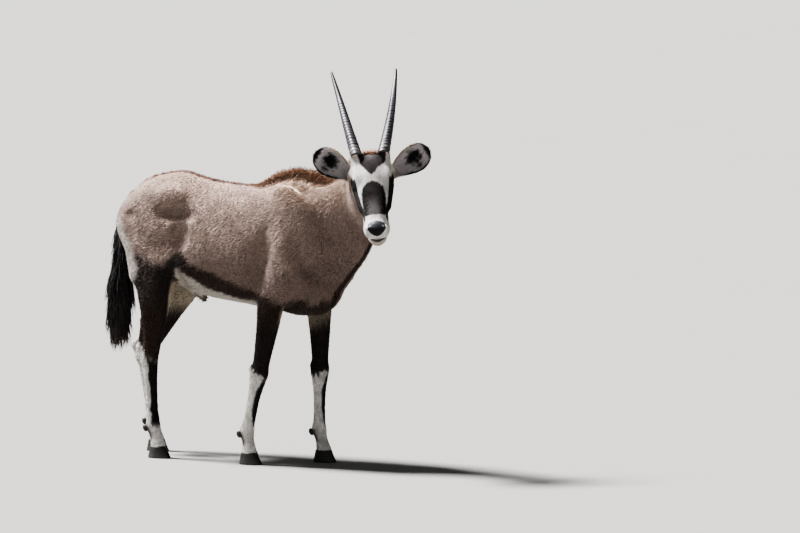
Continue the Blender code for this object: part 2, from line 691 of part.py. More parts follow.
def leg_planes(leg, side_name):
    """The planes that bound a leg where it meets the trunk, each facing into the trunk."""
    side = SIDES[side_name]
    (y0, z0), (y1, z1) = LEG_SLANT[leg]
    back, front = LEG_REACH[leg, side_name]
    slant = Vector((0, -side * (z1 - z0), y1 - y0)).normalized()
    return [
        (Vector((0, side * y0, z0)), slant),
        (Vector((back, 0, 0)), Vector((-1, 0, 0))),
        (Vector((front, 0, 0)), Vector((1, 0, 0))),
        (Vector((0, side * y0, 0)), Vector((0, -side, 0))),
    ]


def leg_block(leg, side_name):
    """The block of space that a leg takes out of the trunk."""
    side = SIDES[side_name]
    (y0, z0), (y1, z1) = LEG_SLANT[leg]
    back, front = LEG_REACH[leg, side_name]
    slope = (z1 - z0) / (y1 - y0)
    outer, floor = y1 + 0.05, 0.20
    outline = [(y0, z0), (outer, z0 + slope * (outer - y0)), (outer, floor), (y0, floor)]
    return loft("block", [[(x, side * y, z) for y, z in outline] for x in (back, front)], "coat")


def make_torso():
    low, high = (-0.64, -0.25, 0.50), (0.60, 0.25, 1.17)
    torso = add_object("torso", field_mesh(body_masses(), low, high, 0.007), "coat")
    keep_largest(torso)
    thin_out(torso, TRIANGLES["torso"])
    boolean(torso, crest_locks(0.0, 0.40), "UNION")
    slice_off(torso, *behind(NECK_CUT, 1))
    boolean(torso, [leg_block(leg, side) for leg in ("fore", "hind") for side in SIDES], "DIFFERENCE")
    return torso


def make_neck():
    low, high = (0.24, -0.24, 0.60), (0.76, 0.16, 1.26)
    neck = add_object("neck", field_mesh(body_masses(), low, high, 0.006), "coat")
    keep_largest(neck)
    thin_out(neck, TRIANGLES["neck"] * 1.6)
    boolean(neck, crest_locks(0.25, 0.60), "UNION")
    slice_off(neck, *behind(NECK_CUT, -1))
    slice_off(neck, *behind(head_cut(), 1))
    keep_largest(neck)
    return neck


def make_head():
    low, high = (0.46, -0.42, 0.84), (0.84, 0.10, 1.28)
    head = add_object("head", field_mesh(body_masses(), low, high, 0.0027), "white")
    keep_largest(head)
    slice_off(head, *behind((np.array(head_cut()[0]) - 0.02 * np.array(head_cut()[1]), head_cut()[1]), -1))
    thin_out(head, TRIANGLES["head"])
    slice_off(head, *behind(head_cut(), -1))
    return head


def make_leg(leg, side_name, joints):
    """The upper leg down to below the knee or hock, and the cannon with its foot down to the coronet."""
    side = SIDES[side_name]
    xs = [joint[0] for joint in joints]
    top = 0.80 if leg == "fore" else 1.00
    ys = sorted((side * 0.005, side * 0.26))
    pieces = []
    for part_name, low_z, high_z, kind in (("upper", CANNON_CUT[leg] - 0.02, top, "leg"),
                                           ("cannon", 0.0, CANNON_CUT[leg] + 0.02, "white")):
        low = (min(xs) - 0.22, ys[0], low_z)
        high = (max(xs) + 0.16, ys[1], high_z)
        mesh = field_mesh(body_masses(), low, high, 0.0045)
        piece = add_object(f"{leg}_{side_name}_{part_name}", mesh, kind)
        if part_name == "upper":
            for point, towards in leg_planes(leg, side_name):
                slice_off(piece, point + towards * 0.012, towards)
        keep_largest(piece)
        thin_out(piece, TRIANGLES[f"{leg}_{part_name}"])
        if part_name == "upper":
            for point, towards in leg_planes(leg, side_name):
                slice_off(piece, point - towards * GAP, towards)
            slice_off(piece, Vector((0, 0, CANNON_CUT[leg] + GAP / 2)), Vector((0, 0, -1)))
        else:
            slice_off(piece, Vector((0, 0, CANNON_CUT[leg] - GAP / 2)), Vector((0, 0, 1)))
            slice_off(piece, Vector((0, 0, CORONET)), Vector((0, 0, -1)))
        keep_largest(piece)
        pieces.append(piece)
    return pieces


def make_foot(leg, side_name, joints, cannon):
    """Two claws under the coronet, and two dewclaws behind the fetlock."""
    side = SIDES[side_name]
    coronet, fetlock = (Vector((j[0], j[1] * side, j[2])) for j in (joints[4], joints[3]))
    levels = (0.0, 0.008, 0.026, CORONET - GAP)
    for half, out in (("outer", side), ("inner", -side)):
        rings = []
        for z in levels:
            t = (z / levels[-1]) ** 0.8
            tuck = 0.0025 if z == 0 else 0
            rings.append([
                (coronet.x + a[0] * (1 - t) + b[0] * t - math.copysign(tuck, a[0]),
                 coronet.y + out * (a[1] * (1 - t) + b[1] * t - (tuck if a[1] > 0.007 else 0)), z)
                for a, b in zip(CLAW_SOLE, CLAW_TOP)
            ])
        loft(f"{leg}_{side_name}_claw_{half}", rings, "claw")
        bm = bmesh.new()
        bmesh.ops.create_uvsphere(bm, u_segments=6, v_segments=4, radius=1)
        place = fetlock + Vector((-0.028, out * 0.017, -0.010))
        turn = Matrix.Rotation(math.radians(-25), 4, "Y")
        bm.transform(Matrix.Translation(place) @ turn @ Matrix.Diagonal((*DEWCLAW, 1)))
        mesh = bpy.data.meshes.new("dewclaw")
        bm.to_mesh(mesh)
        bm.free()
        seat(add_object(f"{leg}_{side_name}_dewclaw_{half}", mesh, "claw"), cannon)


def make_horn(side_name, head):
    side = SIDES[side_name]
    turn, place = head_frame()
    root = np.array(HORN_ROOT) * (1, side, 1)
    axis = np.array((-math.cos(HORN_LEAN), 0, -math.sin(HORN_LEAN)))
    spread, bow = HORN_SPREAD[side_name], HORN_BOW[side_name]
    length = math.sqrt(HORN_LENGTH[side_name] ** 2 - spread**2)
    out = np.array((0, side, 0))
    across = np.cross(axis, out)
    places = [-0.03]
    for ring in range(HORN_RINGS):
        start = RINGED_PART * (ring / HORN_RINGS) ** 0.94
        end = RINGED_PART * ((ring + 1) / HORN_RINGS) ** 0.94
        places += [start + 0.10 * (end - start), start + 0.62 * (end - start)]
    places += [0.74, 0.81, 0.88, 0.94, 0.985, 1.0]
    rings = []
    for i, t in enumerate(places):
        radius = along(HORN_RADII, max(t, 0))
        if t < RINGED_PART:
            radius += RING_DEPTH * (-0.5 if i % 2 else 0.5) * (1 - 0.4 * max(t, 0) / RINGED_PART)
        if t == 1.0:
            radius *= 0.5
        centre = root + axis * length * t + out * (spread * t + bow * math.sin(math.pi * max(t, 0)))
        ring = []
        for k in range(HORN_SIDES):
            angle = math.tau * k / HORN_SIDES
            offset = math.cos(angle) * out + math.sin(angle) * across
            ring.append(turn @ (centre + radius * offset) + place)
        rings.append(ring)
    horn = loft(f"horn_{side_name}", rings, "horn")
    seat(horn, head)


def make_ear(side_name, head):
    """A cupped leaf, rolled nearly into a tube at its root."""
    side = SIDES[side_name]
    turn, place = head_frame()
    root = np.array(EAR_ROOT) * (1, side, 1)
    upward = np.array((-0.819, 0, 0.574))
    opening = np.array((0.574, 0, 0.819))
    rise = EAR_RISE[side_name]
    axis = math.cos(rise) * np.array((0, side, 0)) + math.sin(rise) * upward
    across = np.cross(opening, axis)
    steps = (-0.10, 0.04, 0.14, 0.26, 0.40, 0.54, 0.67, 0.78, 0.87, 0.94, 0.98, 1.00)
    turns = np.linspace(-1, 1, 7)
    rings = []
    for t in steps:
        wrap = math.radians(along(EAR_WRAP, t))
        half = along(EAR_WIDTHS, t) / 2
        radius = half / math.sin(min(wrap, math.pi / 2))
        centre = root + axis * EAR_LENGTH * t
        ring = []
        for wall, order in ((0, turns), (EAR_WALL, turns[::-1])):
            for u in order:
                angle = u * wrap
                thick = wall * (1 - 0.45 * abs(u))
                point = (centre + across * (radius + thick) * math.sin(angle)
                         - opening * ((radius + thick) * math.cos(angle) - radius * math.cos(wrap)))
                ring.append(turn @ point + place)
        rings.append(ring)
    ear = loft(f"ear_{side_name}", rings, "white")
    seat(ear, head, 1.6 * GAP)  # a little more, round the sharp edge of its root


def make_eye(side_name):
    turn, place = head_frame()
    centre = turn @ (np.array(EYE) * (1, SIDES[side_name], 1)) + place
    bm = bmesh.new()
    bmesh.ops.create_uvsphere(bm, u_segments=14, v_segments=8, radius=EYE_RADIUS)
    bm.transform(Matrix.Translation(centre))
    mesh = bpy.data.meshes.new("eye")
    bm.to_mesh(mesh)
    bm.free()
    return add_object(f"eye_{side_name}", mesh, "eye")


def make_tail(torso):
    masses = [(Sweep(TAIL, (1, 0, 0), caps=(0.02, 0.01)), 0.01, None)]
    tail = add_object("tail", field_mesh(masses, (-0.65, -0.10, 0.55), (-0.48, 0.10, 0.99), 0.004), "tail")
    keep_largest(tail)
    thin_out(tail, TRIANGLES["tail"])
    boolean(tail, tuft_locks(), "UNION")
    seat(tail, torso)


def centre_on_floor():
    """Moves everything so that the middle of the whole model's box stands over the origin."""
    corners = np.array([v.co for obj in bpy.data.objects for v in obj.data.vertices])
    middle = (corners.min(0) + corners.max(0)) / 2
    shift = Matrix.Translation((-round(middle[0], 4), -round(middle[1], 4), 0))
    for obj in bpy.data.objects:
        obj.data.transform(shift)
        obj.data.shade_smooth()
        obj.data.set_sharp_from_angle(angle=math.radians(40))


def main():
    for obj in list(bpy.data.objects):
        bpy.data.objects.remove(obj)
    torso = make_torso()
    make_neck()
    head = make_head()
    eyes = [make_eye(side) for side in SIDES]
    boolean(head, [grown(eye, GAP) for eye in eyes], "DIFFERENCE")
    for side in SIDES:
        make_horn(side, head)
        make_ear(side, head)
        for leg, joints in (("fore", FORE_JOINTS[side]), ("hind", HIND_JOINTS[side])):
            cannon = make_leg(leg, side, joints)[1]
            make_foot(leg, side, joints, cannon)
    make_tail(torso)
    centre_on_floor()


main()
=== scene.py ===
"""The looks of a life-size young gemsbok, standing with its head turned to its right.

One skin is drawn through a field of muscle and bone masses, finer over the head, and a coat of tufts
grows on it along the lie of the hair. Horns, eyes, ears, claws, crest and tail are pieces of their own.
Metres. The animal faces +X, its left side is +Y, and the floor is Z = 0.
"""

import math

import bmesh
import bpy
import numpy as np
import openvdb
from mathutils import Matrix, Vector

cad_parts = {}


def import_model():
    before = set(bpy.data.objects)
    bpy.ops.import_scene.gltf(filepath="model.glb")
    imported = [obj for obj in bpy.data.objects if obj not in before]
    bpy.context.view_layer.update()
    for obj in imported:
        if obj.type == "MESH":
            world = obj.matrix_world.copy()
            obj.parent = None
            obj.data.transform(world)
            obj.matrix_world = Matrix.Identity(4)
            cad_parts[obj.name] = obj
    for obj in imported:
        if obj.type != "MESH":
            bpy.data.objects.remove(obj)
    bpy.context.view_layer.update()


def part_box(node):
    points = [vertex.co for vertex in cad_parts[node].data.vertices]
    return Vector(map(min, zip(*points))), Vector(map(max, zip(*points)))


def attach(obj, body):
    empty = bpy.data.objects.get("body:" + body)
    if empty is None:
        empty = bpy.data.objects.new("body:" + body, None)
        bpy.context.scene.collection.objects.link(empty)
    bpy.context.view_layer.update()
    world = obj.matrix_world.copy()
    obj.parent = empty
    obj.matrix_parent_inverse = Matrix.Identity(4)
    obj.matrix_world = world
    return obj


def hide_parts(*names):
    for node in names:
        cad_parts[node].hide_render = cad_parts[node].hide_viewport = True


SIDES = {"left": 1, "right": -1}
BODY = "root"

# The trunk from rump to breast: place along X, height of the back, of the belly, half width, widest height
TRUNK = (
    (-0.490, 1.014, 0.800, 0.088, 0.920),
    (-0.410, 1.083, 0.745, 0.126, 0.920),
    (-0.320, 1.110, 0.700, 0.148, 0.900),
    (-0.220, 1.088, 0.655, 0.158, 0.870),
    (-0.100, 1.070, 0.624, 0.176, 0.840),
    (0.030, 1.062, 0.608, 0.180, 0.820),
    (0.140, 1.074, 0.594, 0.168, 0.800),
    (0.250, 1.096, 0.584, 0.145, 0.790),
    (0.335, 1.082, 0.606, 0.108, 0.800),
    (0.390, 1.010, 0.720, 0.062, 0.812),
)

# The neck from chest to poll: centre, half width, and how far the skin lies above and below it
NECK = (
    (0.260, 0.000, 0.880, 0.106, 0.185, 0.200),
    (0.360, -0.004, 0.930, 0.094, 0.152, 0.228),
    (0.450, -0.018, 0.985, 0.080, 0.118, 0.205),
    (0.530, -0.050, 1.050, 0.071, 0.098, 0.165),
    (0.592, -0.094, 1.112, 0.062, 0.080, 0.116),
)

# The head in its own frame, +X down the face to the nose, +Z out of the forehead, from between the horns:
# place along X, height of the face, of the jaw, half width, widest height
HEAD = (
    (-0.020, -0.096, -0.128, 0.042, -0.110),
    (0.002, -0.050, -0.142, 0.054, -0.088),
    (0.030, -0.016, -0.152, 0.062, -0.070),
    (0.070, 0.000, -0.158, 0.067, -0.060),
    (0.120, -0.002, -0.152, 0.068, -0.064),
    (0.165, -0.009, -0.138, 0.063, -0.070),
    (0.205, -0.016, -0.125, 0.055, -0.070),
    (0.245, -0.023, -0.116, 0.046, -0.070),
    (0.275, -0.029, -0.113, 0.041, -0.070),
    (0.305, -0.036, -0.114, 0.041, -0.074),
)
HEAD_AT = Vector((0.644, -0.150, 1.218))
HEAD_YAW = math.radians(-60)
HEAD_PITCH = math.radians(50)
HEAD_ROLL = math.radians(5.5)

# Where each leg's joints are, as X, distance from the middle plane, and height
FORE_JOINTS = {
    "right": ((0.330, 0.105, 0.800), (0.198, 0.125, 0.640), (0.136, 0.118, 0.352),
              (0.080, 0.112, 0.125), (0.086, 0.110, 0.045)),
    "left": ((0.360, 0.105, 0.800), (0.262, 0.118, 0.640), (0.270, 0.112, 0.352),
             (0.272, 0.106, 0.125), (0.290, 0.104, 0.045)),
}
HIND_JOINTS = {
    "right": ((-0.400, 0.080, 0.900), (-0.325, 0.122, 0.700), (-0.364, 0.108, 0.395),
              (-0.350, 0.102, 0.125), (-0.332, 0.100, 0.045)),
    "left": ((-0.410, 0.080, 0.900), (-0.342, 0.122, 0.690), (-0.522, 0.108, 0.382),
             (-0.482, 0.102, 0.125), (-0.464, 0.100, 0.045)),
}

# Sections down a leg: joint number and part of the way to the next, half width, and depth before and behind
FORE_SECTIONS = (
    (0.30, 0.050, 0.090, 0.095),
    (0.75, 0.050, 0.074, 0.082),
    (1.00, 0.045, 0.056, 0.058),
    (1.28, 0.038, 0.047, 0.046),
    (1.60, 0.032, 0.040, 0.037),
    (1.85, 0.029, 0.034, 0.032),
    (2.00, 0.031, 0.037, 0.034),
    (2.15, 0.027, 0.031, 0.033),
    (2.40, 0.021, 0.023, 0.027),
    (2.80, 0.020, 0.022, 0.026),
    (3.00, 0.025, 0.027, 0.033),
    (3.45, 0.022, 0.024, 0.025),
    (4.00, 0.029, 0.032, 0.028),
)
HIND_SECTIONS = (
    (0.00, 0.070, 0.120, 0.085),
    (0.50, 0.062, 0.118, 0.088),
    (1.00, 0.050, 0.080, 0.098),
    (1.38, 0.041, 0.063, 0.058),
    (1.62, 0.032, 0.053, 0.040),
    (1.82, 0.026, 0.045, 0.030),
    (2.00, 0.028, 0.038, 0.034),
    (2.20, 0.024, 0.030, 0.032),
    (2.45, 0.021, 0.024, 0.028),
    (2.80, 0.020, 0.022, 0.026),
    (3.00, 0.025, 0.027, 0.033),
    (3.45, 0.022, 0.024, 0.025),
    (4.00, 0.029, 0.032, 0.028),
)

CORONET = 0.046  # height at which the claws take over from the pastern

# Claws: two to a foot, each from the coronet down to the sole
CLAW_TOP = ((-0.026, 0.0015), (0.025, 0.0015), (0.029, 0.010), (0.022, 0.023), (0.000, 0.0275),
            (-0.022, 0.021), (-0.028, 0.010))
CLAW_SOLE = ((-0.036, 0.0025), (0.046, 0.0060), (0.054, 0.011), (0.036, 0.026), (0.000, 0.0325),
             (-0.030, 0.025), (-0.038, 0.012))
DEWCLAW = (0.010, 0.007, 0.014)  # half sizes

# Standing hair: places at the skin along the withers and the nape, and how far the hair stands above them
CREST = ((0.045, 0.000, 1.058, 0.006), (0.085, 0.000, 1.064, 0.016), (0.138, 0.000, 1.076, 0.030),
         (0.191, 0.000, 1.090, 0.036), (0.252, 0.000, 1.097, 0.037), (0.306, 0.000, 1.092, 0.034),
         (0.345, 0.000, 1.082, 0.031), (0.410, -0.008, 1.082, 0.030), (0.470, -0.035, 1.110, 0.028),
         (0.520, -0.070, 1.140, 0.022))
BACK_RIDGE = 0.012  # height of the hair that stands along the spine
CREST_CORE = 0.45  # height of the solid core, as a share of the hair's

# Horns in the head's frame
HORN_ROOT = (-0.002, 0.0530, -0.004)
HORN_LENGTH = {"left": 0.430, "right": 0.444}
HORN_LEAN = math.radians(7)  # backwards, out of the plane of the face
HORN_SPREAD = {"left": 0.0735, "right": 0.0665}  # how much further out the tip is than the root
HORN_BOW = {"left": 0.007, "right": 0.000}
HORN_RADII = ((0.00, 0.0226), (0.12, 0.0203), (0.25, 0.0183), (0.50, 0.0140), (0.75, 0.0098), (0.93, 0.0064),
              (1.00, 0.0046))
HORN_RINGS = 20
RINGED_PART = 0.68
RING_DEPTH = 0.00175

# Eyes in the head's frame
EYE = (0.101, 0.0570, -0.048)
EYE_RADIUS = 0.0185
EYE_LOOKS = (0.22, 0.93, 0.29)

# Ears in the head's frame
EAR_ROOT = (0.046, 0.070, -0.083)
EAR_RISE = {"left": math.radians(27), "right": math.radians(37)}
EAR_LENGTH = 0.172
EAR_WIDTHS = ((0.00, 0.040), (0.12, 0.048), (0.30, 0.074), (0.50, 0.097), (0.68, 0.103), (0.84, 0.085),
              (0.94, 0.056), (1.00, 0.014))
EAR_WRAP = ((0.0, 118), (0.2, 88), (0.45, 56), (0.75, 42), (1.0, 30))  # half angle that the cup bends through
EAR_WALL = 0.005

# Tail: the dock, as centre x, y, z, half width, depth before and behind
TAIL = (
    (-0.535, 0.000, 0.938, 0.024, 0.022, 0.022),
    (-0.560, 0.000, 0.915, 0.021, 0.019, 0.019),
    (-0.572, 0.000, 0.860, 0.014, 0.014, 0.014),
    (-0.570, 0.000, 0.780, 0.016, 0.015, 0.015),
    (-0.565, 0.000, 0.700, 0.020, 0.018, 0.018),
    (-0.562, 0.000, 0.630, 0.018, 0.016, 0.016),
)
# The hair of the tail: how far out it hangs at each height
TUFT = ((0.425, 0.016), (0.497, 0.040), (0.574, 0.050), (0.632, 0.049), (0.690, 0.041), (0.767, 0.027),
        (0.864, 0.015))


def curve_through(rows, steps):
    """Smooth values through the rows of a table, by Catmull-Rom, with `steps` to each gap."""
    rows = np.array(rows, float)
    ends = np.vstack([2 * rows[0] - rows[1], rows, 2 * rows[-1] - rows[-2]])
    out = []
    for i in range(len(rows) - 1):
        a, b, c, d = ends[i : i + 4]
        for t in np.arange(steps) / steps:
            square, cube = 2 * a - 5 * b + 4 * c - d, 3 * b - a - 3 * c + d
            out.append(0.5 * (2 * b + (c - a) * t + square * t**2 + cube * t**3))
    out.append(rows[-1])
    return np.array(out)


def unit(v):
    return v / np.linalg.norm(v, axis=-1, keepdims=True)


class Sweep:
    """An oval section carried along a smooth line. A row is centre x, y, z, half width, and the depths
    towards `hint` and away from it."""

    def __init__(self, rows, hint, caps=(0.03, 0.03), powers=(2.0, 2.0), steps=4):
        table = curve_through(rows, steps)
        self.centre, self.side, self.fore, self.aft = table[:, :3], table[:, 3], table[:, 4], table[:, 5]
        self.along = unit(np.gradient(self.centre, axis=0))
        self.across = unit(np.cross(np.array(hint, float), self.along))
        self.up = np.cross(self.along, self.across)
        self.caps, self.powers = caps, powers

    def box(self):
        reach = np.maximum(np.maximum(self.side, self.fore), self.aft)[:, None] + max(self.caps)
        return (self.centre - reach).min(0), (self.centre + reach).max(0)

    def distance(self, points):
        nearest = np.full(len(points), np.inf)
        place = np.zeros(len(points))
        last = len(self.centre) - 2
        for i in range(last + 1):
            start, leg = self.centre[i], self.centre[i + 1] - self.centre[i]
            t = np.clip((points - start) @ leg / (leg @ leg), 0, 1)
            away = ((points - start - t[:, None] * leg) ** 2).sum(1)
            closer = away < nearest
            nearest[closer] = away[closer]
            place[closer] = i + t[closer]
        i = np.minimum(place.astype(int), last)
        t = place - i

        def at(values):
            w = t if values.ndim == 1 else t[:, None]
            return values[i] * (1 - w) + values[i + 1] * w

        offset = points - at(self.centre)
        across = (offset * at(self.across)).sum(1)
        up = (offset * at(self.up)).sum(1)
        over = (offset * at(self.along)).sum(1) * ((place == 0) | (place == last + 1))
        depth = np.where(up > 0, at(self.fore), at(self.aft))
        power = np.where(up > 0, *self.powers)
        cap = np.where(over > 0, self.caps[1], self.caps[0])
        ratio = (np.abs(across / at(self.side)) ** power + np.abs(up / depth) ** power
                 + np.abs(over / cap) ** power) ** (1 / power)
        length = np.sqrt(across**2 + up**2 + over**2)
        return length * (1 - 1 / np.maximum(ratio, 1e-6))


class Lump:
    """An ellipsoid: centre, half sizes, and the turn of its axes in degrees about X, Y and Z."""

    def __init__(self, centre, sizes, turn=(0, 0, 0)):
        self.centre, self.sizes = np.array(centre, float), np.array(sizes, float)
        turns = [Matrix.Rotation(math.radians(a), 3, axis) for a, axis in zip(turn, "XYZ")]
        self.axes = np.array(turns[2] @ turns[1] @ turns[0])

    def box(self):
        reach = self.sizes.max()
        return self.centre - reach, self.centre + reach

    def distance(self, points):
        offset = (points - self.centre) @ self.axes
        ratio = np.sqrt(((offset / self.sizes) ** 2).sum(1))
        return np.sqrt((offset**2).sum(1)) * (1 - 1 / np.maximum(ratio, 1e-6))


class Rod:
    """A round bar between two points, with a radius at each."""

    def __init__(self, start, end, radius, end_radius=None):
        self.start, self.end = np.array(start, float), np.array(end, float)
        self.radii = radius, radius if end_radius is None else end_radius

    def box(self):
        reach = max(self.radii)
        return np.minimum(self.start, self.end) - reach, np.maximum(self.start, self.end) + reach

    def distance(self, points):
        leg = self.end - self.start
        t = np.clip((points - self.start) @ leg / (leg @ leg), 0, 1)
        radius = self.radii[0] * (1 - t) + self.radii[1] * t
        return np.sqrt(((points - self.start - t[:, None] * leg) ** 2).sum(1)) - radius


def field_value(masses, points):
    """Distance to the skin, below zero inside. A mass is (shape, blend, frame); a blend below zero cuts."""
    value = np.full(len(points), 1.0)
    for shape, blend, frame in masses:
        local = points if frame is None else (points - frame[1]) @ frame[0]
        low, high = shape.box()
        reach = abs(blend) + 0.03
        near = ((local > low - reach) & (local < high + reach)).all(1)
        if not near.any():
            continue
        there = shape.distance(local[near])
        here = value[near]
        if blend < 0:
            there = -there
            mix = np.maximum(-blend - np.abs(here - there), 0) ** 2 / (-4 * blend)
            value[near] = np.maximum(here, there) + mix
        else:
            mix = np.maximum(blend - np.abs(here - there), 0) ** 2 / (4 * blend)
            value[near] = np.minimum(here, there) - mix
    return value


def both_sides(make):
    """The masses that `make(side)` gives for the left and the right."""
    return [mass for side in SIDES.values() for mass in make(side)]


def trunk_masses():
    barrel = [(x, 0, wide, half, back - wide, wide - belly) for x, back, belly, half, wide in TRUNK]

    def pair(s):
        return [
            # hip bone, gluteal mass
            (Lump((-0.265, s * 0.108, 1.012), (0.060, 0.032, 0.032)), 0.05, None),
            (Lump((-0.385, s * 0.072, 0.935), (0.140, 0.078, 0.095), (0, -34, 0)), 0.05, None),
            # pin bone and the muscle that runs down behind the thigh
            (Rod((-0.472, s * 0.052, 0.905), (-0.396, s * 0.098, 0.720), 0.044, 0.050), 0.05, None),
            # shoulder blade, point of the shoulder, and the triceps before the elbow
            (Lump((0.292, s * 0.092, 0.930), (0.078, 0.038, 0.165), (0, -30, 0)), 0.04, None),
            (Lump((0.316, s * 0.084, 0.805), (0.040, 0.032, 0.056)), 0.035, None),
            (Lump((0.240, s * 0.120, 0.745), (0.088, 0.050, 0.098)), 0.035, None),
            (Lump((0.238, s * 0.128, 0.850), (0.056, 0.034, 0.080), (0, -20, 0)), 0.030, None),
            # fold of skin from the belly to the stifle
            (Rod((-0.150, s * 0.124, 0.738), (-0.245, s * 0.120, 0.778), 0.028, 0.036), 0.05, None),
            # muscle before the thigh, and the stifle
            (Lump((-0.322, s * 0.116, 0.862), (0.076, 0.050, 0.098)), 0.035, None),
            (Lump((-0.275, s * 0.136, 0.775), (0.045, 0.030, 0.055)), 0.03, None),
            # hollow of the flank below the loin and behind the ribs
            (Lump((-0.215, s * 0.178, 0.962), (0.112, 0.058, 0.055)), -0.012, None),
            (Lump((-0.197, s * 0.190, 0.888), (0.054, 0.056, 0.098)), -0.012, None),
            # grooves behind the thigh and behind the shoulder
            (Rod((-0.428, s * 0.154, 0.930), (-0.402, s * 0.170, 0.800), 0.030), -0.020, None),
            (Rod((0.195, s * 0.189, 0.900), (0.145, s * 0.182, 0.700), 0.036), -0.040, None),
        ]

    withers = (Lump((0.235, 0, 1.030), (0.150, 0.036, 0.070)), 0.05, None)
    brisket = (Lump((0.285, 0, 0.636), (0.100, 0.056, 0.054), (0, -10, 0)), 0.04, None)
    breast = (Lump((0.385, 0, 0.695), (0.048, 0.066, 0.100), (0, 35, 0)), 0.07, None)
    tail_head = (Rod((-0.480, 0, 0.972), (-0.540, 0, 0.935), 0.036, 0.026), 0.04, None)
    sheath = (Rod((-0.225, 0, 0.655), (-0.180, 0, 0.612), 0.022, 0.010), 0.03, None)
    return [(Sweep(barrel, (0, 0, 1), caps=(0.035, 0.055), powers=(1.9, 2.15)), 0.02, None),
            withers, brisket, breast, tail_head, sheath, *both_sides(pair)]


def neck_masses():
    neck = Sweep(NECK, (0, 0, 1), caps=(0.14, 0.05), powers=(1.9, 2.1))
    throat = Rod((0.585, -0.070, 1.045), (0.640, -0.135, 1.080), 0.050, 0.045)
    return [(neck, 0.060, None), (throat, 0.04, None)]


def leg_table(joints, sections, side):
    joints = np.array(joints, float) * (1, side, 1)
    rows = []
    for place, half, fore, aft in sections:
        i = min(int(place), len(joints) - 2)
        centre = joints[i] + (place - i) * (joints[i + 1] - joints[i])
        rows.append((*centre, half, fore, aft))
    return rows


def leg_masses():
    masses = []
    for name, side in SIDES.items():
        fore = leg_table(FORE_JOINTS[name], FORE_SECTIONS, side)
        hind = leg_table(HIND_JOINTS[name], HIND_SECTIONS, side)
        masses.append((Sweep(fore, (1, 0, 0), caps=(0.03, 0.02), powers=(2.2, 2.1)), 0.035, None))
        masses.append((Sweep(hind, (1, 0, 0), caps=(0.05, 0.02), powers=(2.2, 2.1)), 0.040, None))
        # point of the hock, with the tendon that runs down to it
        stifle, hock = (np.array(HIND_JOINTS[name][i]) * (1, side, 1) for i in (1, 2))
        point = hock + (-0.040, 0, 0.030)
        masses.append((Rod(hock + 0.45 * (stifle - hock) + (-0.040, 0, 0), point, 0.011, 0.015), 0.022, None))
        masses.append((Rod(point, hock + (-0.018, 0, -0.020), 0.015, 0.016), 0.020, None))
        # bone behind the knee
        knee = np.array(FORE_JOINTS[name][2]) * (1, side, 1)
        masses.append((Rod(knee + (-0.022, 0, 0.016), knee + (-0.020, 0, -0.012), 0.018, 0.012), 0.020, None))
    return masses


# How deep the coat lies over the skin
COAT_DEPTH = 0.0030
FACE_DEPTH = 0.0012
HEAD_SEAM = ((0.552, -0.066, 1.072), (0.63, -0.45, 0.63))  # where the fine head meets the coarser body
SEAM_STRIP = 0.0035
BODY_CELL = 0.0046
HEAD_CELL = 0.0018
BODY_TRIANGLES = 108000
HEAD_TRIANGLES = 78000

# Colours as linear red, green and blue
FAWN = (0.440, 0.332, 0.286)
SANDY = (0.620, 0.460, 0.350)
TAUPE = (0.210, 0.150, 0.128)
WHITE = (0.780, 0.750, 0.720)
CREAM = (0.560, 0.480, 0.370)
GREY = (0.300, 0.290, 0.290)
BLACK = (0.014, 0.011, 0.011)
UMBER = (0.034, 0.022, 0.024)
BROWN = (0.050, 0.026, 0.017)
RUSSET = (0.240, 0.090, 0.036)
GINGER = (0.430, 0.235, 0.120)
SLATE = (0.070, 0.072, 0.082)
PINK = (0.520, 0.400, 0.370)
INNER_LEG = (0.360, 0.300, 0.240)
CROWN = (0.420, 0.170, 0.070)


def smooth(x, low, high):
    """0 below `low`, 1 above `high`, and an even rise between them. With low above high it falls."""
    t = np.clip((x - low) / (high - low), 0, 1)
    return t * t * (3 - 2 * t)


def blend(first, second, share):
    return first * (1 - share[:, None]) + np.array(second) * share[:, None]


def all_over(values, points):
    """The same colour or direction at every point."""
    return np.tile(np.array(values, float), (len(points), 1))


def along_skin(way, normals):
    """Directions laid flat on the skin, at unit length."""
    return unit(way - (way * normals).sum(1)[:, None] * normals)


def reading(table, t, column=1):
    """A column of a table whose rows start with a place, read at `t`."""
    columns = list(zip(*table))
    return np.interp(t, columns[0], columns[column])


def wobble(points, size, seed):
    """Soft unevenness between -1 and 1, in patches of about `size`."""
    draw = np.random.default_rng(seed)
    total = np.zeros(len(points))
    for _ in range(7):
        way = unit(draw.normal(size=3)) * math.tau / (size * draw.uniform(0.7, 1.9))
        total += np.sin(points @ way + draw.uniform(0, math.tau))
    return total / 3.2


def stroke(x, y, line):
    """How far points lie from a painted line of (x, y, half width) rows: 1 on its edge, less inside."""
    nearest = np.full(len(x), 9.0)
    for (x0, y0, w0), (x1, y1, w1) in zip(line, line[1:]):
        dx, dy = x1 - x0, y1 - y0
        t = np.clip(((x - x0) * dx + (y - y0) * dy) / (dx * dx + dy * dy), 0, 1)
        away = np.hypot(x - x0 - t * dx, y - y0 - t * dy) / (w0 + (w1 - w0) * t)
        nearest = np.minimum(nearest, away)
    return nearest


def painted(x, y, line, soft=0.12):
    return 1 - smooth(stroke(x, y, line), 1 - soft, 1 + soft)


# Markings of the body. The flank stripe as (place along X, upper edge, lower edge)
FLANK = ((-0.245, 0.772, 0.765), (-0.222, 0.790, 0.745), (-0.190, 0.814, 0.726), (-0.166, 0.796, 0.718),
         (-0.149, 0.768, 0.713), (-0.096, 0.745, 0.672), (-0.042, 0.733, 0.655), (-0.002, 0.716, 0.643),
         (0.038, 0.701, 0.636), (0.078, 0.685, 0.631), (0.120, 0.673, 0.627), (0.200, 0.652, 0.612))
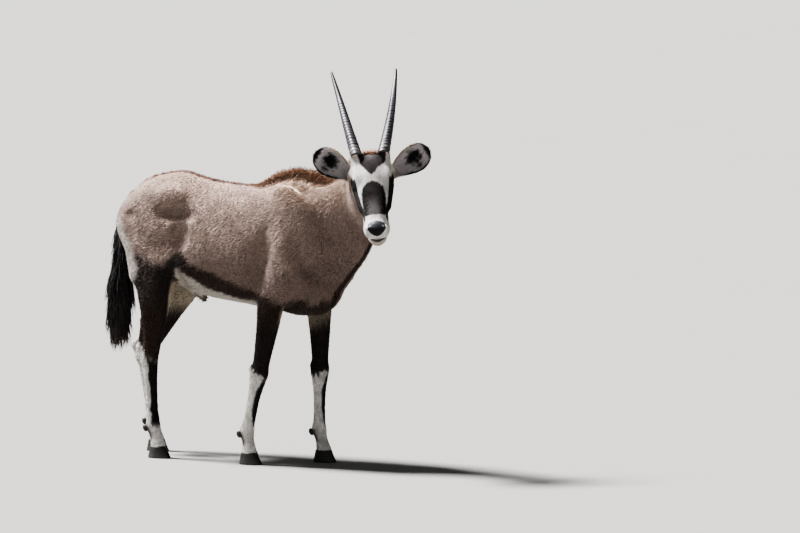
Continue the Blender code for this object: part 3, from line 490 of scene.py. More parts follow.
# The dark line under the neck, as (place along X, middle Y, half width)
THROAT_LINE = ((0.300, 0.000, 0.050), (0.350, -0.004, 0.034), (0.400, -0.010, 0.021), (0.470, -0.019, 0.015),
               (0.540, -0.034, 0.013), (0.620, -0.070, 0.012))
# Rear edge of the brown on the thigh, by height; what lies behind it is pale
BUTTOCK_EDGE = ((0.560, -0.425), (0.650, -0.395), (0.735, -0.376), (0.830, -0.418), (0.920, -0.468),
                (0.960, -0.500))
# Upper edge of the brown on the thigh, along X
HAUNCH_TOP = ((-0.440, 0.720), (-0.410, 0.775), (-0.385, 0.800), (-0.360, 0.792), (-0.335, 0.774),
              (-0.300, 0.756), (-0.265, 0.754), (-0.240, 0.766), (-0.215, 0.800))
# Upper edge of the brown under the brisket, along X
BRISKET = ((0.160, 0.616), (0.220, 0.600), (0.300, 0.604), (0.356, 0.624), (0.400, 0.646))
# Height where the black of the foreleg ends, and its slant along X
KNEE_EDGE = {"right": (0.352, 0.50), "left": (0.338, -0.20)}
# The black down the front of the cannon, as (sideways, height, half width)
SHIN_MARK = ((0.002, 0.330, 0.010), (0.003, 0.285, 0.017), (0.002, 0.200, 0.013), (0.000, 0.150, 0.004))
HOCK_EDGE = 0.405
HAUNCH_WRAP = {"right": -0.05, "left": 0.40}  # how far round the thigh the brown reaches

# Markings of the head, in its own frame: (x, half width) across the face, and (x, z, half width) down
# the cheek
FOREHEAD_MARK = ((-0.06, 0.090), (0.000, 0.056), (0.024, 0.052), (0.048, 0.045), (0.062, 0.035),
                 (0.078, 0.023), (0.096, 0.011), (0.108, -0.003))
NOSE_MARK = ((0.128, -0.004), (0.132, 0.016), (0.140, 0.030), (0.152, 0.039), (0.173, 0.044),
             (0.200, 0.045), (0.235, 0.043), (0.258, 0.040), (0.265, 0.031), (0.268, -0.004))
CHEEK_MARK = ((0.074, -0.034, 0.0130), (0.102, -0.046, 0.0250), (0.130, -0.050, 0.0210),
              (0.165, -0.0565, 0.0195), (0.200, -0.060, 0.0190), (0.235, -0.062, 0.0200),
              (0.258, -0.068, 0.0170), (0.285, -0.086, 0.0040))
# Inner edge of the black down the cheek, and the half width of the bare nose, by how low they lie in the face
CHEEK_EDGE = ((0.160, 0.0640), (0.200, 0.0620), (0.300, 0.0556), (0.345, 0.0500), (0.390, 0.0410),
              (0.430, 0.0420), (0.460, 0.0480))
NOSE_PAD = ((0.450, 0.000), (0.457, 0.020), (0.470, 0.030), (0.485, 0.034), (0.505, 0.034), (0.525, 0.026),
            (0.545, 0.014), (0.556, -0.004))
MOUTH_LINE = ((0.200, -0.112), (0.238, -0.1135), (0.292, -0.1155), (0.322, -0.1145), (0.345, -0.1130))


def head_frame():
    """Rotation and place that carry the head's own frame into the animal's."""
    facing = Vector((math.cos(HEAD_YAW), math.sin(HEAD_YAW), 0))
    turn = (Matrix.Rotation(HEAD_ROLL, 3, facing) @ Matrix.Rotation(HEAD_YAW, 3, "Z")
            @ Matrix.Rotation(HEAD_PITCH, 3, "Y"))
    return np.array(turn), np.array(HEAD_AT)


TURN, PLACE = head_frame()


def into_head(points):
    return (points - PLACE) @ TURN


def how_low(local):
    """How far down the upright face a point of the head lies."""
    return 1.428 * local[:, 0] - local[:, 2]


def head_share(points):
    """0 on the body and 1 on the head, across a soft border behind the jaw."""
    local = into_head(points)
    along_neck = (local - (-0.075, 0, -0.070)) @ unit(np.array((0.528, 0, 0.849)))
    return smooth(along_neck, -0.012, 0.016) * smooth(points[:, 0], 0.44, 0.50)


def leg_offsets(points, joints, side):
    """Where points lie from a leg's middle line at their own height, ahead and outwards."""
    heights = [joint[2] for joint in joints][::-1]
    xs = [joint[0] for joint in joints][::-1]
    ys = [joint[1] * side for joint in joints][::-1]
    z = points[:, 2]
    return points[:, 0] - np.interp(z, heights, xs), (points[:, 1] - np.interp(z, heights, ys)) * side


def body_colour(points, normals):
    x, y, z = points.T
    side = np.abs(y)
    patch = wobble(points, 0.05, 1)
    fine = wobble(points, 0.012, 2)
    edge = 0.006 * fine + 0.004 * patch
    colour = all_over(FAWN, points)
    # paler and sandier on the upper neck, the withers and the back, partly as painted light on the tops that
    # face the light
    colour = blend(colour, SANDY, 0.75 * smooth(z, 0.97, 1.10) * smooth(x, 0.02, 0.22))
    colour = blend(colour, SANDY, 0.25 * smooth(z, 0.99, 1.08) * smooth(x, 0.05, -0.10))
    # darker low on the flank and in front of it: painted shade where the barrel turns away from the light
    colour = blend(colour, TAUPE, 0.55 * smooth(z, 0.86, 0.70) * smooth(x, -0.25, -0.12)
                   * smooth(z, 0.55, 0.60))
    # painted shade on the side of the neck below the crest
    colour = blend(colour, TAUPE, 0.45 * smooth(x, 0.30, 0.42) * smooth(z, 1.08, 0.98))
    colour = blend(colour, TAUPE, np.clip(0.10 + 0.16 * patch, 0, 1))
    # pale rear edge of the buttock, its white dimmed as painted shade, most towards the middle
    rear = thigh_edge(points)
    colour = blend(colour, WHITE, (0.20 + 0.40 * smooth(side, 0.050, 0.090)) * smooth(side, 0.022, 0.050)
                   * smooth(x + 0.6 * edge, rear + 0.018, rear - 0.018)
                   * smooth(z, 0.66, 0.71) * smooth(z, 0.95, 0.90))
    # dark line along the back
    along_back = smooth(x, -0.57, -0.54) * smooth(x, 0.30, 0.10) * smooth(normals[:, 2], 0.0, 0.3)
    from_spine = (side + edge) / (1 + 1.3 * smooth(x, -0.34, -0.42))
    colour = blend(colour, RUSSET, 0.6 * along_back * smooth(from_spine, 0.020, 0.009))
    colour = blend(colour, BROWN, 0.9 * along_back * smooth(from_spine, 0.011, 0.005))
    crest = smooth(x, 0.02, 0.10) * smooth(x, 0.56, 0.50) * smooth(normals[:, 2], 0.1, 0.5)
    from_crest = np.abs(y - reading(CREST, x)) + 2 * edge
    colour = blend(colour, GINGER, 0.7 * crest * smooth(from_crest, 0.022, 0.004))
    # belly, with the stripe above it
    upper, lower = reading(FLANK, x, 1), reading(FLANK, x, 2)
    off_thigh = 1 - smooth(side, 0.080, 0.100) * smooth(x, -0.215, -0.235)
    belly = (smooth(x, -0.44, -0.38) * smooth(x, 0.17, 0.13) * off_thigh
             * smooth(z + edge, lower + 0.008, lower - 0.008))
    colour = blend(colour, WHITE, 0.9 * belly)
    colour = blend(colour, CREAM, 0.35 * belly)
    open_below = smooth(x, 0.11, 0.15)
    stripe = smooth(z + edge, upper + 0.010, upper - 0.012) * np.maximum(
        smooth(z + edge, lower - 0.006, lower + 0.006), open_below)
    colour = blend(colour, BROWN, stripe * smooth(x, -0.262, -0.235) * smooth(x, 0.26, 0.20)
                   * smooth(side, 0.05, 0.08))
    # brisket and throat
    off = np.abs(y - reading(THROAT_LINE, x, 1)) / reading(THROAT_LINE, x, 2)
    under = smooth(normals @ unit(np.array((0.5, 0, -0.85))), 0.15, 0.45)
    colour = blend(colour, BROWN, smooth(x, 0.20, 0.27) * under * smooth(off + 20 * edge, 1.15, 0.85)
                   * smooth(z, 1.06, 0.98))
    belt = reading(BRISKET, x)
    colour = blend(colour, BROWN, smooth(z + edge, belt + 0.005, belt - 0.005) * smooth(x, 0.10, 0.15)
                   * smooth(x, 0.42, 0.38) * smooth(z, 0.50, 0.55))
    sheath = (smooth(z, 0.632, 0.612) * smooth(side, 0.045, 0.030)
              * smooth(x, -0.26, -0.24) * smooth(x, -0.14, -0.16))
    colour = blend(colour, BROWN, 0.8 * sheath)
    for name, turned in SIDES.items():
        colour = paint_foreleg(colour, points, normals, name, turned, edge)
        colour = paint_hind_leg(colour, points, normals, name, turned, edge)
    return colour


def thigh_edge(points):
    """Rear edge of the brown on the thigh at the height of each point, along X."""
    return reading(BUTTOCK_EDGE, points[:, 2]) - 0.022 * (points[:, 1] > 0)


def paint_cannon(colour, points, pale):
    """White below the knee or the hock, greyish in patches."""
    colour = blend(colour, WHITE, pale)
    return blend(colour, GREY, 0.35 * pale * smooth(wobble(points, 0.03, 4), -0.2, 0.8))


def paint_fetlock(colour, z, normals, near):
    """The dark patch behind the fetlock."""
    patch = smooth(z, 0.135, 0.115) * smooth(z, 0.070, 0.090) * smooth(normals[:, 0], 0.1, -0.4)
    return blend(colour, BROWN, 0.8 * near * patch)


def paint_foreleg(colour, points, normals, name, turned, edge):
    x, y, z = points.T
    ahead, out = leg_offsets(points, FORE_JOINTS[name], turned)
    near = smooth(np.abs(ahead), 0.16, 0.12) * (y * turned > 0.02) * (x > 0) * smooth(z, 0.70, 0.66)
    height, slant = KNEE_EDGE[name]
    elbow = 0.618 + 0.25 * np.clip(ahead, -0.1, 0.1)
    black = smooth(z + edge, elbow + 0.014, elbow - 0.012)
    colour = blend(colour, BROWN, near * black)
    colour = blend(colour, BLACK, 0.75 * near * smooth(z, 0.60, 0.50))
    # pale patch high on the inner front
    inner = smooth(normals[:, 1] * turned, 0.30, -0.10) * smooth(z + edge, 0.622, 0.606)
    inner = inner * smooth(z + edge - 0.5 * ahead, 0.500, 0.560)
    colour = blend(colour, INNER_LEG, 0.9 * near * inner)
    height = height - slant * ahead
    pale = near * smooth(z + 1.5 * edge, height + 0.006, height - 0.006)
    colour = paint_cannon(colour, points, pale)
    mark = 1 - smooth(stroke(out, z, SHIN_MARK) + 12 * edge, 0.85, 1.1)
    colour = blend(colour, BLACK, pale * mark * smooth(normals[:, 0], 0.15, 0.5))
    return paint_fetlock(colour, z, normals, near)


def paint_hind_leg(colour, points, normals, name, turned, edge):
    x, y, z = points.T
    ahead, _ = leg_offsets(points, HIND_JOINTS[name], turned)
    near = smooth(x, -0.18, -0.21) * (y * turned > 0.004)
    wrap = HAUNCH_WRAP[name] + 0.50 * smooth(x, -0.290, -0.262) * smooth(z, 0.752, 0.732)
    outside = smooth(normals[:, 1] * turned, wrap - 0.4, wrap)
    top = reading(HAUNCH_TOP, x)
    dark = smooth(z + 1.5 * edge, top + 0.022, top - 0.022)
    rear = thigh_edge(points)
    rear_edge = smooth(x + 0.6 * edge, rear - 0.010, rear + 0.010) + smooth(z, 0.71, 0.66)
    shade = near * dark * np.clip(rear_edge, 0, 1) * np.maximum(outside, smooth(z, 0.60, 0.52))
    shade = shade * np.maximum(smooth(np.abs(y), 0.060, 0.085), smooth(z, 0.64, 0.60))
    # the pale belly runs up between the fold of the flank and the front of the thigh
    front = 0.35 * (z - 0.66) - 0.250
    fold = near * smooth(x + edge, front - 0.006, front + 0.006) * smooth(z + edge, 0.752, 0.742)
    fold = fold * smooth(z, 0.645, 0.665)
    colour = blend(colour, CREAM, fold)
    colour = blend(colour, WHITE, 0.5 * fold)
    shade = shade * (1 - fold)
    colour = blend(colour, CREAM, 0.9 * near * (1 - outside) * smooth(z, 0.80, 0.74) * smooth(z, 0.50, 0.56))
    colour = blend(colour, BROWN, shade)
    colour = blend(colour, BLACK, 0.6 * shade * smooth(np.abs(ahead), 0.020, 0.050))
    edge_height = HOCK_EDGE - 0.9 * np.clip(ahead, -0.06, 0.03)
    pale = near * smooth(z + 1.5 * edge, edge_height + 0.008, edge_height - 0.008)
    colour = paint_cannon(colour, points, pale)
    front = smooth(ahead + 0.4 * edge, 0.001, 0.005) * smooth(z, 0.110, 0.140)
    colour = blend(colour, BLACK, pale * front)
    return paint_fetlock(colour, z, normals, near)


def head_colour(points, normals):
    local = into_head(points)
    x, y, z = local.T
    side = np.abs(y)
    up = (normals @ TURN)[:, 2]
    fine = wobble(points, 0.006, 5)
    edge = 0.0018 * fine
    colour = all_over(WHITE, points)
    colour = blend(colour, GREY, np.clip(0.10 + 0.12 * wobble(points, 0.03, 6), 0, 1))
    # pinkish skin at the foot of the horns, fawn behind the jaw and outside the stripe of the cheek
    colour = blend(colour, PINK, 0.6 * smooth(side, 0.040, 0.055) * smooth(x, 0.035, 0.010))
    stripe = reading(CHEEK_MARK, x)
    jaw = smooth(z + 2 * edge, stripe - 0.024, stripe - 0.036) * smooth(x, 0.270, 0.225)
    colour = blend(colour, FAWN, 0.9 * jaw)
    colour = blend(colour, FAWN, 0.9 * smooth(x, 0.085, 0.045) * smooth(z, -0.060, -0.085))
    half = reading(FOREHEAD_MARK, x)
    mark = smooth(np.abs(y - 0.008 * smooth(x, 0.075, 0.030)) + edge, half + 0.002, half - 0.002)
    mark = mark * smooth(up, -0.2, 0.1)
    colour = blend(colour, UMBER, mark)
    colour = blend(colour, GREY, 0.30 * mark * smooth(side + 6 * edge, 0.030, 0.000) * smooth(x, 0.05, 0.01))
    half = reading(NOSE_MARK, x)
    mark = smooth(side + edge, half + 0.0015, half - 0.0015) * smooth(up, -0.1, 0.2)
    colour = blend(colour, BLACK, mark)
    colour = blend(colour, UMBER, 0.8 * mark * smooth(side + 3 * edge, 0.036, 0.020))
    colour = blend(colour, GREY, 0.42 * mark * smooth(x, 0.17, 0.25) * smooth(side + 6 * edge, 0.034, 0.012))
    cheek = painted(x + edge, z + edge, CHEEK_MARK) * (side > 0.025)
    low = how_low(local)
    inner = reading(CHEEK_EDGE, low)
    outer = stripe - reading(CHEEK_MARK, x, 2)
    front = smooth(side + edge, inner - 0.0012, inner + 0.0012) * smooth(low + edge, 0.158, 0.172)
    front = front * smooth(low + edge, 0.462, 0.450) * smooth(z, outer - 0.002, outer + 0.002)
    colour = blend(colour, BLACK, np.maximum(cheek * smooth(low, 0.135, 0.155), front))
    # rufous tuft between the horns and down the nape
    crown = smooth(x + 3 * edge, 0.002, -0.012) * smooth(side + 3 * edge, 0.034, 0.022)
    colour = blend(colour, CROWN, 0.9 * crown)
    # chin, lips, and the line of the mouth, painted dark as the shade in the crease between the lips
    mouth = z - reading(MOUTH_LINE, x)
    colour = blend(colour, CREAM, 0.7 * smooth(mouth, -0.002, -0.008) * smooth(x, 0.200, 0.240))
    colour = blend(colour, GREY, 0.7 * smooth(np.abs(mouth - 0.004), 0.010, 0.006) * smooth(x, 0.285, 0.305))
    # painted shade along the crease of the mouth
    colour = blend(colour, UMBER, 0.9 * smooth(np.abs(mouth), 0.0040, 0.0024) * smooth(x, 0.225, 0.245))
    pad = pad_share(local)
    colour = blend(colour, SLATE, pad)
    # black nostrils, and the lower half of the bare nose painted black under its slate top as painted shade
    nostrils = smooth(side + edge, 0.025, 0.031) * smooth(low, 0.462, 0.474)
    colour = blend(colour, BLACK, pad * np.maximum(smooth(low + 2 * edge, 0.488, 0.508), nostrils))
    throat = smooth(side + edge, 0.022, 0.015) * smooth(z, -0.125, -0.140) * smooth(x, 0.22, 0.17)
    return blend(colour, BROWN, 0.8 * throat)


def pad_share(local):
    """1 on the bare nose."""
    x, y, z = local.T
    half = reading(NOSE_PAD, how_low(local))
    share = smooth(np.abs(y), half + 0.0015, half - 0.0015)
    return share * smooth(x, 0.285, 0.290) * smooth(z, -0.102, -0.098)


def coat_colour(points, normals):
    share = head_share(points)
    body, head = body_colour(points, normals), head_colour(points, normals)
    return body * (1 - share[:, None]) + head * share[:, None]


def lie_of_hair(points, normals):
    """Which way the hair points, along the skin."""
    x, y, z = points.T
    way = all_over((-1.0, 0.0, -0.60), points)
    way = blend(way, (-0.25, 0.0, -1.0), smooth(x, 0.25, 0.42))
    leg = smooth(z, 0.66, 0.56) * smooth(np.abs(y), 0.03, 0.06)
    way = blend(way, (-0.15, 0.0, -1.0), leg)
    crest = smooth(np.abs(y), 0.045, 0.020) * smooth(x, 0.04, 0.10) * smooth(z, 1.0, 1.04)
    way = blend(way, (0.75, 0.0, 0.45), crest)
    down_face = TURN @ np.array((0.85, 0.0, -0.15))
    way = blend(way, down_face, head_share(points))
    way = way + 0.22 * np.stack([wobble(points, 0.07, seed) for seed in (11, 12, 13)], 1)
    return along_skin(way, normals)


def horn_tuft(points):
    """1 on the crown between the horns, where a rufous tuft stands."""
    x, y, _ = into_head(points).T
    share = smooth(x, 0.004, -0.012) * smooth(np.abs(y), 0.034, 0.020) * smooth(x, -0.075, -0.055)
    return share * head_share(points)


def hair_length(points):
    x, _, z = points.T
    length = 0.0145 + 0.004 * smooth(x, 0.0, 0.3) * smooth(z, 0.9, 1.05)
    length = length * (1 - 0.40 * smooth(z, 0.62, 0.45)) * (1 - 0.20 * smooth(z, 0.20, 0.10))
    local = into_head(points)
    face = 0.0075 * (1 - 0.45 * smooth(local[:, 0], 0.12, 0.28))
    share = head_share(points)
    return length * (1 - share) + face * share


def head_masses():
    """The head's bones and muscles, with lids, nostrils, lips and the fold behind the jaw."""
    frame = TURN, PLACE
    skull = [(x, 0, wide, half, face - wide, wide - jaw) for x, face, jaw, half, wide in HEAD]
    eye, looks = np.array(EYE), unit(np.array(EYE_LOOKS))

    def pair(s):
        flip = np.array((1, s, 1))
        return [
            (Lump((0.085, s * 0.042, -0.102), (0.080, 0.028, 0.054)), 0.030, frame),
            (Lump((0.092, s * 0.054, -0.034), (0.042, 0.022, 0.026)), 0.022, frame),
            (Rod((0.112, s * 0.060, -0.068), (0.200, s * 0.048, -0.074), 0.013, 0.010), 0.025, frame),
            (Rod((0.030, s * 0.044, -0.040), (0.004, s * 0.052, -0.012), 0.032, 0.024), 0.020, frame),
            (Rod((0.030, s * 0.045, -0.090), (0.038, s * 0.070, -0.083), 0.034, 0.026), 0.022, frame),
            (Lump((eye + 0.004 * looks) * flip, (0.027, 0.0205, 0.0215), (0, 14, s * -14)), 0.010, frame),
            # fold of the upper lid
            (Rod((0.080, s * 0.0665, -0.036), (0.112, s * 0.0690, -0.033), 0.0048, 0.0042), 0.007, frame),
            (Lump((0.292, s * 0.023, -0.082), (0.044, 0.027, 0.028)), 0.014, frame),
            (Lump((0.245, s * 0.036, -0.102), (0.030, 0.012, 0.016)), 0.015, frame),
            # wing of the nostril
            (Rod((0.319, s * 0.030, -0.042), (0.308, s * 0.036, -0.056), 0.0075, 0.0065), 0.008, frame),
        ]

    def cuts(s):
        flip = np.array((1, s, 1))
        return [
            (Lump((eye + 0.021 * looks) * flip, (0.0165, 0.010, 0.0105), (0, 14, s * -14)), -0.003, frame),
            # tear pit before the eye
            (Lump((0.127, s * 0.0705, -0.054), (0.009, 0.0035, 0.0035), (0, 12, s * -10)), -0.004, frame),
            (Rod((0.343, s * 0.0130, -0.070), (0.332, s * 0.0275, -0.050), 0.0060, 0.0048), -0.004, frame),
            (Rod((0.332, s * 0.0275, -0.050), (0.317, s * 0.0335, -0.046), 0.0044, 0.0022), -0.004, frame),
            (Rod((0.342, s * 0.000, -0.1130), (0.324, s * 0.032, -0.1145), 0.0028), -0.004, frame),
            (Rod((0.324, s * 0.032, -0.1145), (0.292, s * 0.047, -0.1155), 0.0028), -0.004, frame),
            (Rod((0.292, s * 0.047, -0.1155), (0.238, s * 0.054, -0.1135), 0.0026, 0.0018), -0.004, frame),
        ]

    chin = (Lump((0.289, 0, -0.126), (0.050, 0.038, 0.024), (0, 5, 0)), 0.014, frame)
    nose = (Lump((0.306, 0, -0.062), (0.030, 0.034, 0.032)), 0.014, frame)
    forehead = (Lump((0.060, 0, -0.030), (0.070, 0.050, 0.036)), 0.030, frame)
    groove = (Rod((0.341, 0, -0.066), (0.342, 0, -0.104), 0.0014), -0.003, frame)
    return [(Sweep(skull, (0, 0, 1), caps=(0.030, 0.028), powers=(2.5, 2.1)), 0.040, frame),
            forehead, *both_sides(pair), chin, nose, *both_sides(cuts), groove]


def crest_masses():
    """The core of the standing hair over the withers and the nape."""
    rows = [(x, y, z, 0.013, up * CREST_CORE, 0.02) for x, y, z, up in CREST]
    return [(Sweep(rows, (0, 0, 1), caps=(0.03, 0.02)), 0.012, None)]


def body_masses():
    return [*trunk_masses(), *neck_masses(), *crest_masses(), *leg_masses(), *head_masses()]


def skin_value(masses, points):
    """Distance to the bare skin, which lies under the coat."""
    share = smooth((points - HEAD_SEAM[0]) @ unit(np.array(HEAD_SEAM[1])), -0.02, 0.03)
    return field_value(masses, points) + COAT_DEPTH + (FACE_DEPTH - COAT_DEPTH) * share


def field_mesh(masses, low, high, cell):
    """The skin inside a box. The field is worked out coarsely, then again near the skin."""
    low, wide = np.array(low, float), 4
    blocks = np.ceil((np.array(high) - low) / (cell * wide)).astype(int) + 1
    centres = np.indices(blocks).reshape(3, -1).T * wide + wide / 2
    coarse = skin_value(masses, low + centres * cell).reshape(blocks)
    fine = coarse.repeat(wide, 0).repeat(wide, 1).repeat(wide, 2).astype(np.float32)
    near = np.argwhere(np.abs(fine) < 1.5 * wide * cell)
    fine[tuple(near.T)] = skin_value(masses, low + near * cell)
    grid = openvdb.FloatGrid(1.0)
    grid.copyFromArray(fine)
    corners, faces = grid.convertToQuads(isovalue=0.0)
    mesh = bpy.data.meshes.new("skin")
    mesh.from_pydata((low + corners * cell).tolist(), [], faces[:, ::-1].tolist())
    return mesh


def add_object(name, mesh):
    obj = bpy.data.objects.new(name, mesh)
    bpy.context.scene.collection.objects.link(obj)
    mesh.name = name
    return obj


def mesh_from(bm, name):
    """A smooth mesh from a bmesh, which is then freed."""
    mesh = bpy.data.meshes.new(name)
    bm.to_mesh(mesh)
    bm.free()
    mesh.shade_smooth()
    return mesh


def drop(obj):
    mesh = obj.data
    bpy.data.objects.remove(obj)
    bpy.data.meshes.remove(mesh)


def evaluated(obj):
    graph = bpy.context.evaluated_depsgraph_get()
    return bpy.data.meshes.new_from_object(obj.evaluated_get(graph))


def thinned(mesh, triangles):
    obj = add_object("thinned", mesh)
    modifier = obj.modifiers.new("Decimate", "DECIMATE")
    mesh.calc_loop_triangles()
    modifier.ratio = min(1.0, triangles / len(mesh.loop_triangles))
    modifier.use_collapse_triangulate = True
    result = evaluated(obj)
    drop(obj)
    return result


def connected(bm):
    """The vertices of each separate surface, smallest first."""
    seen, groups = set(), []
    for first in bm.verts:
        if first in seen:
            continue
        group, front = [first], [first]
        seen.add(first)
        while front:
            for edge in front.pop().link_edges:
                for vert in edge.verts:
                    if vert not in seen:
                        seen.add(vert)
                        group.append(vert)
                        front.append(vert)
        groups.append(group)
    return sorted(groups, key=len)


def opened(mesh, point, towards):
    """The mesh without what lies beyond a plane, left open there, and only its largest piece."""
    bm = bmesh.new()
    bm.from_mesh(mesh)
    geometry = [*bm.verts, *bm.edges, *bm.faces]
    bmesh.ops.bisect_plane(bm, geom=geometry, dist=1e-6, plane_co=point, plane_no=towards, clear_outer=True)
    scraps = [vert for group in connected(bm)[:-1] for vert in group]
    bmesh.ops.delete(bm, geom=scraps, context="VERTS")
    bm.to_mesh(mesh)
    bm.free()
    return mesh


# Where the skin is worked out
BODY_BOX = ((-0.64, -0.26, 0.0), (0.68, 0.26, 1.19))
HEAD_BOX = ((0.48, -0.42, 0.84), (0.84, 0.12, 1.28))
SKIN_FOOT = CORONET - 0.003
# Where the skin is eased, with Y from the middle outwards, in the body's frame and in the head's
BLADE_TOP = ((0.170, 0.022, 0.950), (0.400, 0.150, 1.096))
NOSE_EDGE = ((0.312, -0.001, -0.052), (0.360, 0.025, -0.020))
BLADE_PASSES, NOSE_PASSES = 14, 10


def ease(bm):
    """Eases the crease along the top of the shoulder blade, and the front edge of the nose."""
    places = np.array([vert.co for vert in bm.verts])
    for box, passes, points in ((BLADE_TOP, BLADE_PASSES, places),
                                (NOSE_EDGE, NOSE_PASSES, into_head(places))):
        low, high = np.array(box)
        points = np.abs(points * (0, 1, 0)) + points * (1, 0, 1)
        inside = ((points > low) & (points < high)).all(1)
        chosen = [vert for vert, kept in zip(bm.verts, inside) if kept]
        for _ in range(passes):
            bmesh.ops.smooth_vert(bm, verts=chosen, factor=0.5, use_axis_x=True, use_axis_y=True,
                                  use_axis_z=True)


def make_skin():
    """One closed skin from nose to hooves: a fine head and a coarser body, joined behind the jaw."""
    masses = body_masses()
    point, towards = Vector(HEAD_SEAM[0]), Vector(HEAD_SEAM[1]).normalized()
    bm = bmesh.new()
    for box, cell, triangles, way in ((BODY_BOX, BODY_CELL, BODY_TRIANGLES, towards),
                                      (HEAD_BOX, HEAD_CELL, HEAD_TRIANGLES, -towards)):
        half = thinned(field_mesh(masses, *box, cell), triangles)
        half = opened(half, point - way * SEAM_STRIP / 2, way)
        bm.from_mesh(half)
        bpy.data.meshes.remove(half)
    bmesh.ops.bridge_loops(bm, edges=[edge for edge in bm.edges if edge.is_boundary])
    geometry = [*bm.verts, *bm.edges, *bm.faces]
    cut = bmesh.ops.bisect_plane(bm, geom=geometry, dist=1e-6, plane_co=(0, 0, SKIN_FOOT),
                                 plane_no=(0, 0, -1), clear_outer=True)
    rim = [edge for edge in cut["geom_cut"] if isinstance(edge, bmesh.types.BMEdge) and edge.is_boundary]
    bmesh.ops.triangle_fill(bm, edges=rim, normal=(0, 0, -1), use_beauty=True)
    bmesh.ops.triangulate(bm, faces=bm.faces)
    bmesh.ops.recalc_face_normals(bm, faces=bm.faces)
    ease(bm)
    return add_object("skin", mesh_from(bm, "skin"))


def surface(mesh):
    """The place and the normal of each vertex."""
    found = []
    for source, key in ((mesh.vertices, "co"), (mesh.vertex_normals, "vector")):
        values = np.empty(len(mesh.vertices) * 3, np.float32)
        source.foreach_get(key, values)
        found.append(values.reshape(-1, 3).astype(float))
    return found


def forget(mesh, *names):
    """Removes stored values."""
    for name in names:
        found = mesh.attributes.get(name)
        if found:
            mesh.attributes.remove(found)


def write(mesh, **fields):
    """Stores a value for each vertex under a name: a colour as `coat`, otherwise a number or a direction."""
    for name, values in fields.items():
        values = np.asarray(values, float)
        kind, key = "FLOAT_VECTOR", "vector"
        if name == "coat":
            kind, key = "FLOAT_COLOR", "color"
            values = np.hstack([values, np.ones((len(values), 1))])
        elif values.ndim < 2:
            kind, key = "FLOAT", "value"
            values = np.broadcast_to(values, len(mesh.vertices))
        forget(mesh, name)
        made = mesh.attributes.new(name, kind, "POINT")
        made.data.foreach_set(key, np.ascontiguousarray(values, np.float32).ravel())


def unwrap(u, v):
    """Places on the coat's unwrap."""
    return np.stack([u, v, 0 * u], 1)


def closed_mesh(name, points, faces, triangles=False):
    """A smooth mesh whose faces all point outwards."""
    mesh = bpy.data.meshes.new(name)
    mesh.from_pydata(points, [], faces)
    bm = bmesh.new()
    bm.from_mesh(mesh)
    bpy.data.meshes.remove(mesh)
    if triangles:
        bmesh.ops.triangulate(bm, faces=bm.faces)
    bmesh.ops.recalc_face_normals(bm, faces=bm.faces)
    return mesh_from(bm, name)


def loft(name, rings):
    """A closed, smooth skin over a row of rings with the same number of points."""
    count = len(rings[0])
    points = np.array(rings).reshape(-1, 3)
    faces = []
    for row in range(len(rings) - 1):
        for i in range(count):
            j = (i + 1) % count
            faces.append((row * count + i, row * count + j, (row + 1) * count + j, (row + 1) * count + i))
    faces.append(tuple(range(count))[::-1])
    faces.append(tuple(range(len(points) - count, len(points))))
    return add_object(name, closed_mesh(name, points.tolist(), faces))


HORN_TURNS = 30
HORN_STEPS = 330
HORN_TINT = (0.046, 0.043, 0.050)
HORN_FOOT = (0.160, 0.150, 0.140)


def make_horn(side_name):
    """A long cone with uneven raised rings over its lower part and a smooth, worn tip."""
    side = SIDES[side_name]
    root = np.array(HORN_ROOT) * (1, side, 1)
    axis = np.array((-math.cos(HORN_LEAN), 0, -math.sin(HORN_LEAN)))
    spread, bow = HORN_SPREAD[side_name], HORN_BOW[side_name]
    length = math.sqrt(HORN_LENGTH[side_name] ** 2 - spread**2)
    out = np.array((0, side, 0))
    across = np.cross(axis, out)
    angles = math.tau * np.arange(HORN_TURNS) / HORN_TURNS
    draw = np.random.default_rng(3 + side)
    depths = draw.uniform(0.6, 1.25, HORN_RINGS + 2)
    phases = draw.uniform(0, math.tau, HORN_RINGS + 2)
    rings, colours = [], []
    for t in np.linspace(-0.03, 1, HORN_STEPS):
        place = max(t, 0) / RINGED_PART
        turn = HORN_RINGS * place ** (1 / 0.94)
        ring_number = min(int(turn), HORN_RINGS)
        # each ring wanders up and down a little on its way round
        drift = turn + 0.10 * np.sin(angles + phases[ring_number]) + 0.05 * np.sin(3 * angles + turn)
        rise = drift % 1.0
        profile = smooth(rise, 0.0, 0.30) * smooth(rise, 1.0, 0.55)
        fade = smooth(place, 1.06, 0.85)
        depth = RING_DEPTH * depths[ring_number] * (1 - 0.4 * min(place, 1)) * fade
        radius = reading(HORN_RADII, max(t, 0)) * (1 - 0.5 * smooth(t, 0.985, 1.0))
        radii = radius + depth * (profile - 0.5) + 0.0003 * np.sin(5 * angles + 9 * t)
        centre = root + axis * length * t + out * (spread * t + bow * math.sin(math.pi * max(t, 0)))
        ring = centre + radii[:, None] * (np.cos(angles)[:, None] * out + np.sin(angles)[:, None] * across)
        rings.append(ring @ TURN.T + PLACE)
        # painted highlight on the raised part of each ring and painted shade in the grooves, and painted
        # light round the horn: lighter on the outer side, darker on the inner side that faces the other horn
        shade = (0.55 + 0.75 * profile * fade + 0.25 * (1 - fade)) * (0.80 - 0.28 * np.cos(angles - math.pi))
        pale = smooth(t, 0.10, 0.0) * 0.5
        tint = np.array(HORN_TINT) * (1 - 0.40 * smooth(t, 0.70, 1.0))
        colours.append(shade[:, None] * (tint * (1 - pale) + np.array(HORN_FOOT) * pale))
    horn = loft(f"horn_{side_name}_keratin", rings)
    write(horn.data, coat=np.array(colours).reshape(-1, 3))
    return horn


EAR_STEPS = 44
EAR_TURNS = 25
EAR_UPWARD, EAR_OPENING = (-0.819, 0, 0.574), (0.574, 0, 0.819)
# Inside of the ear: pale, and painted brighter than its own colour as the light that shines through the thin
# ear
LIT_EAR_CUP = (0.800, 0.740, 0.750)


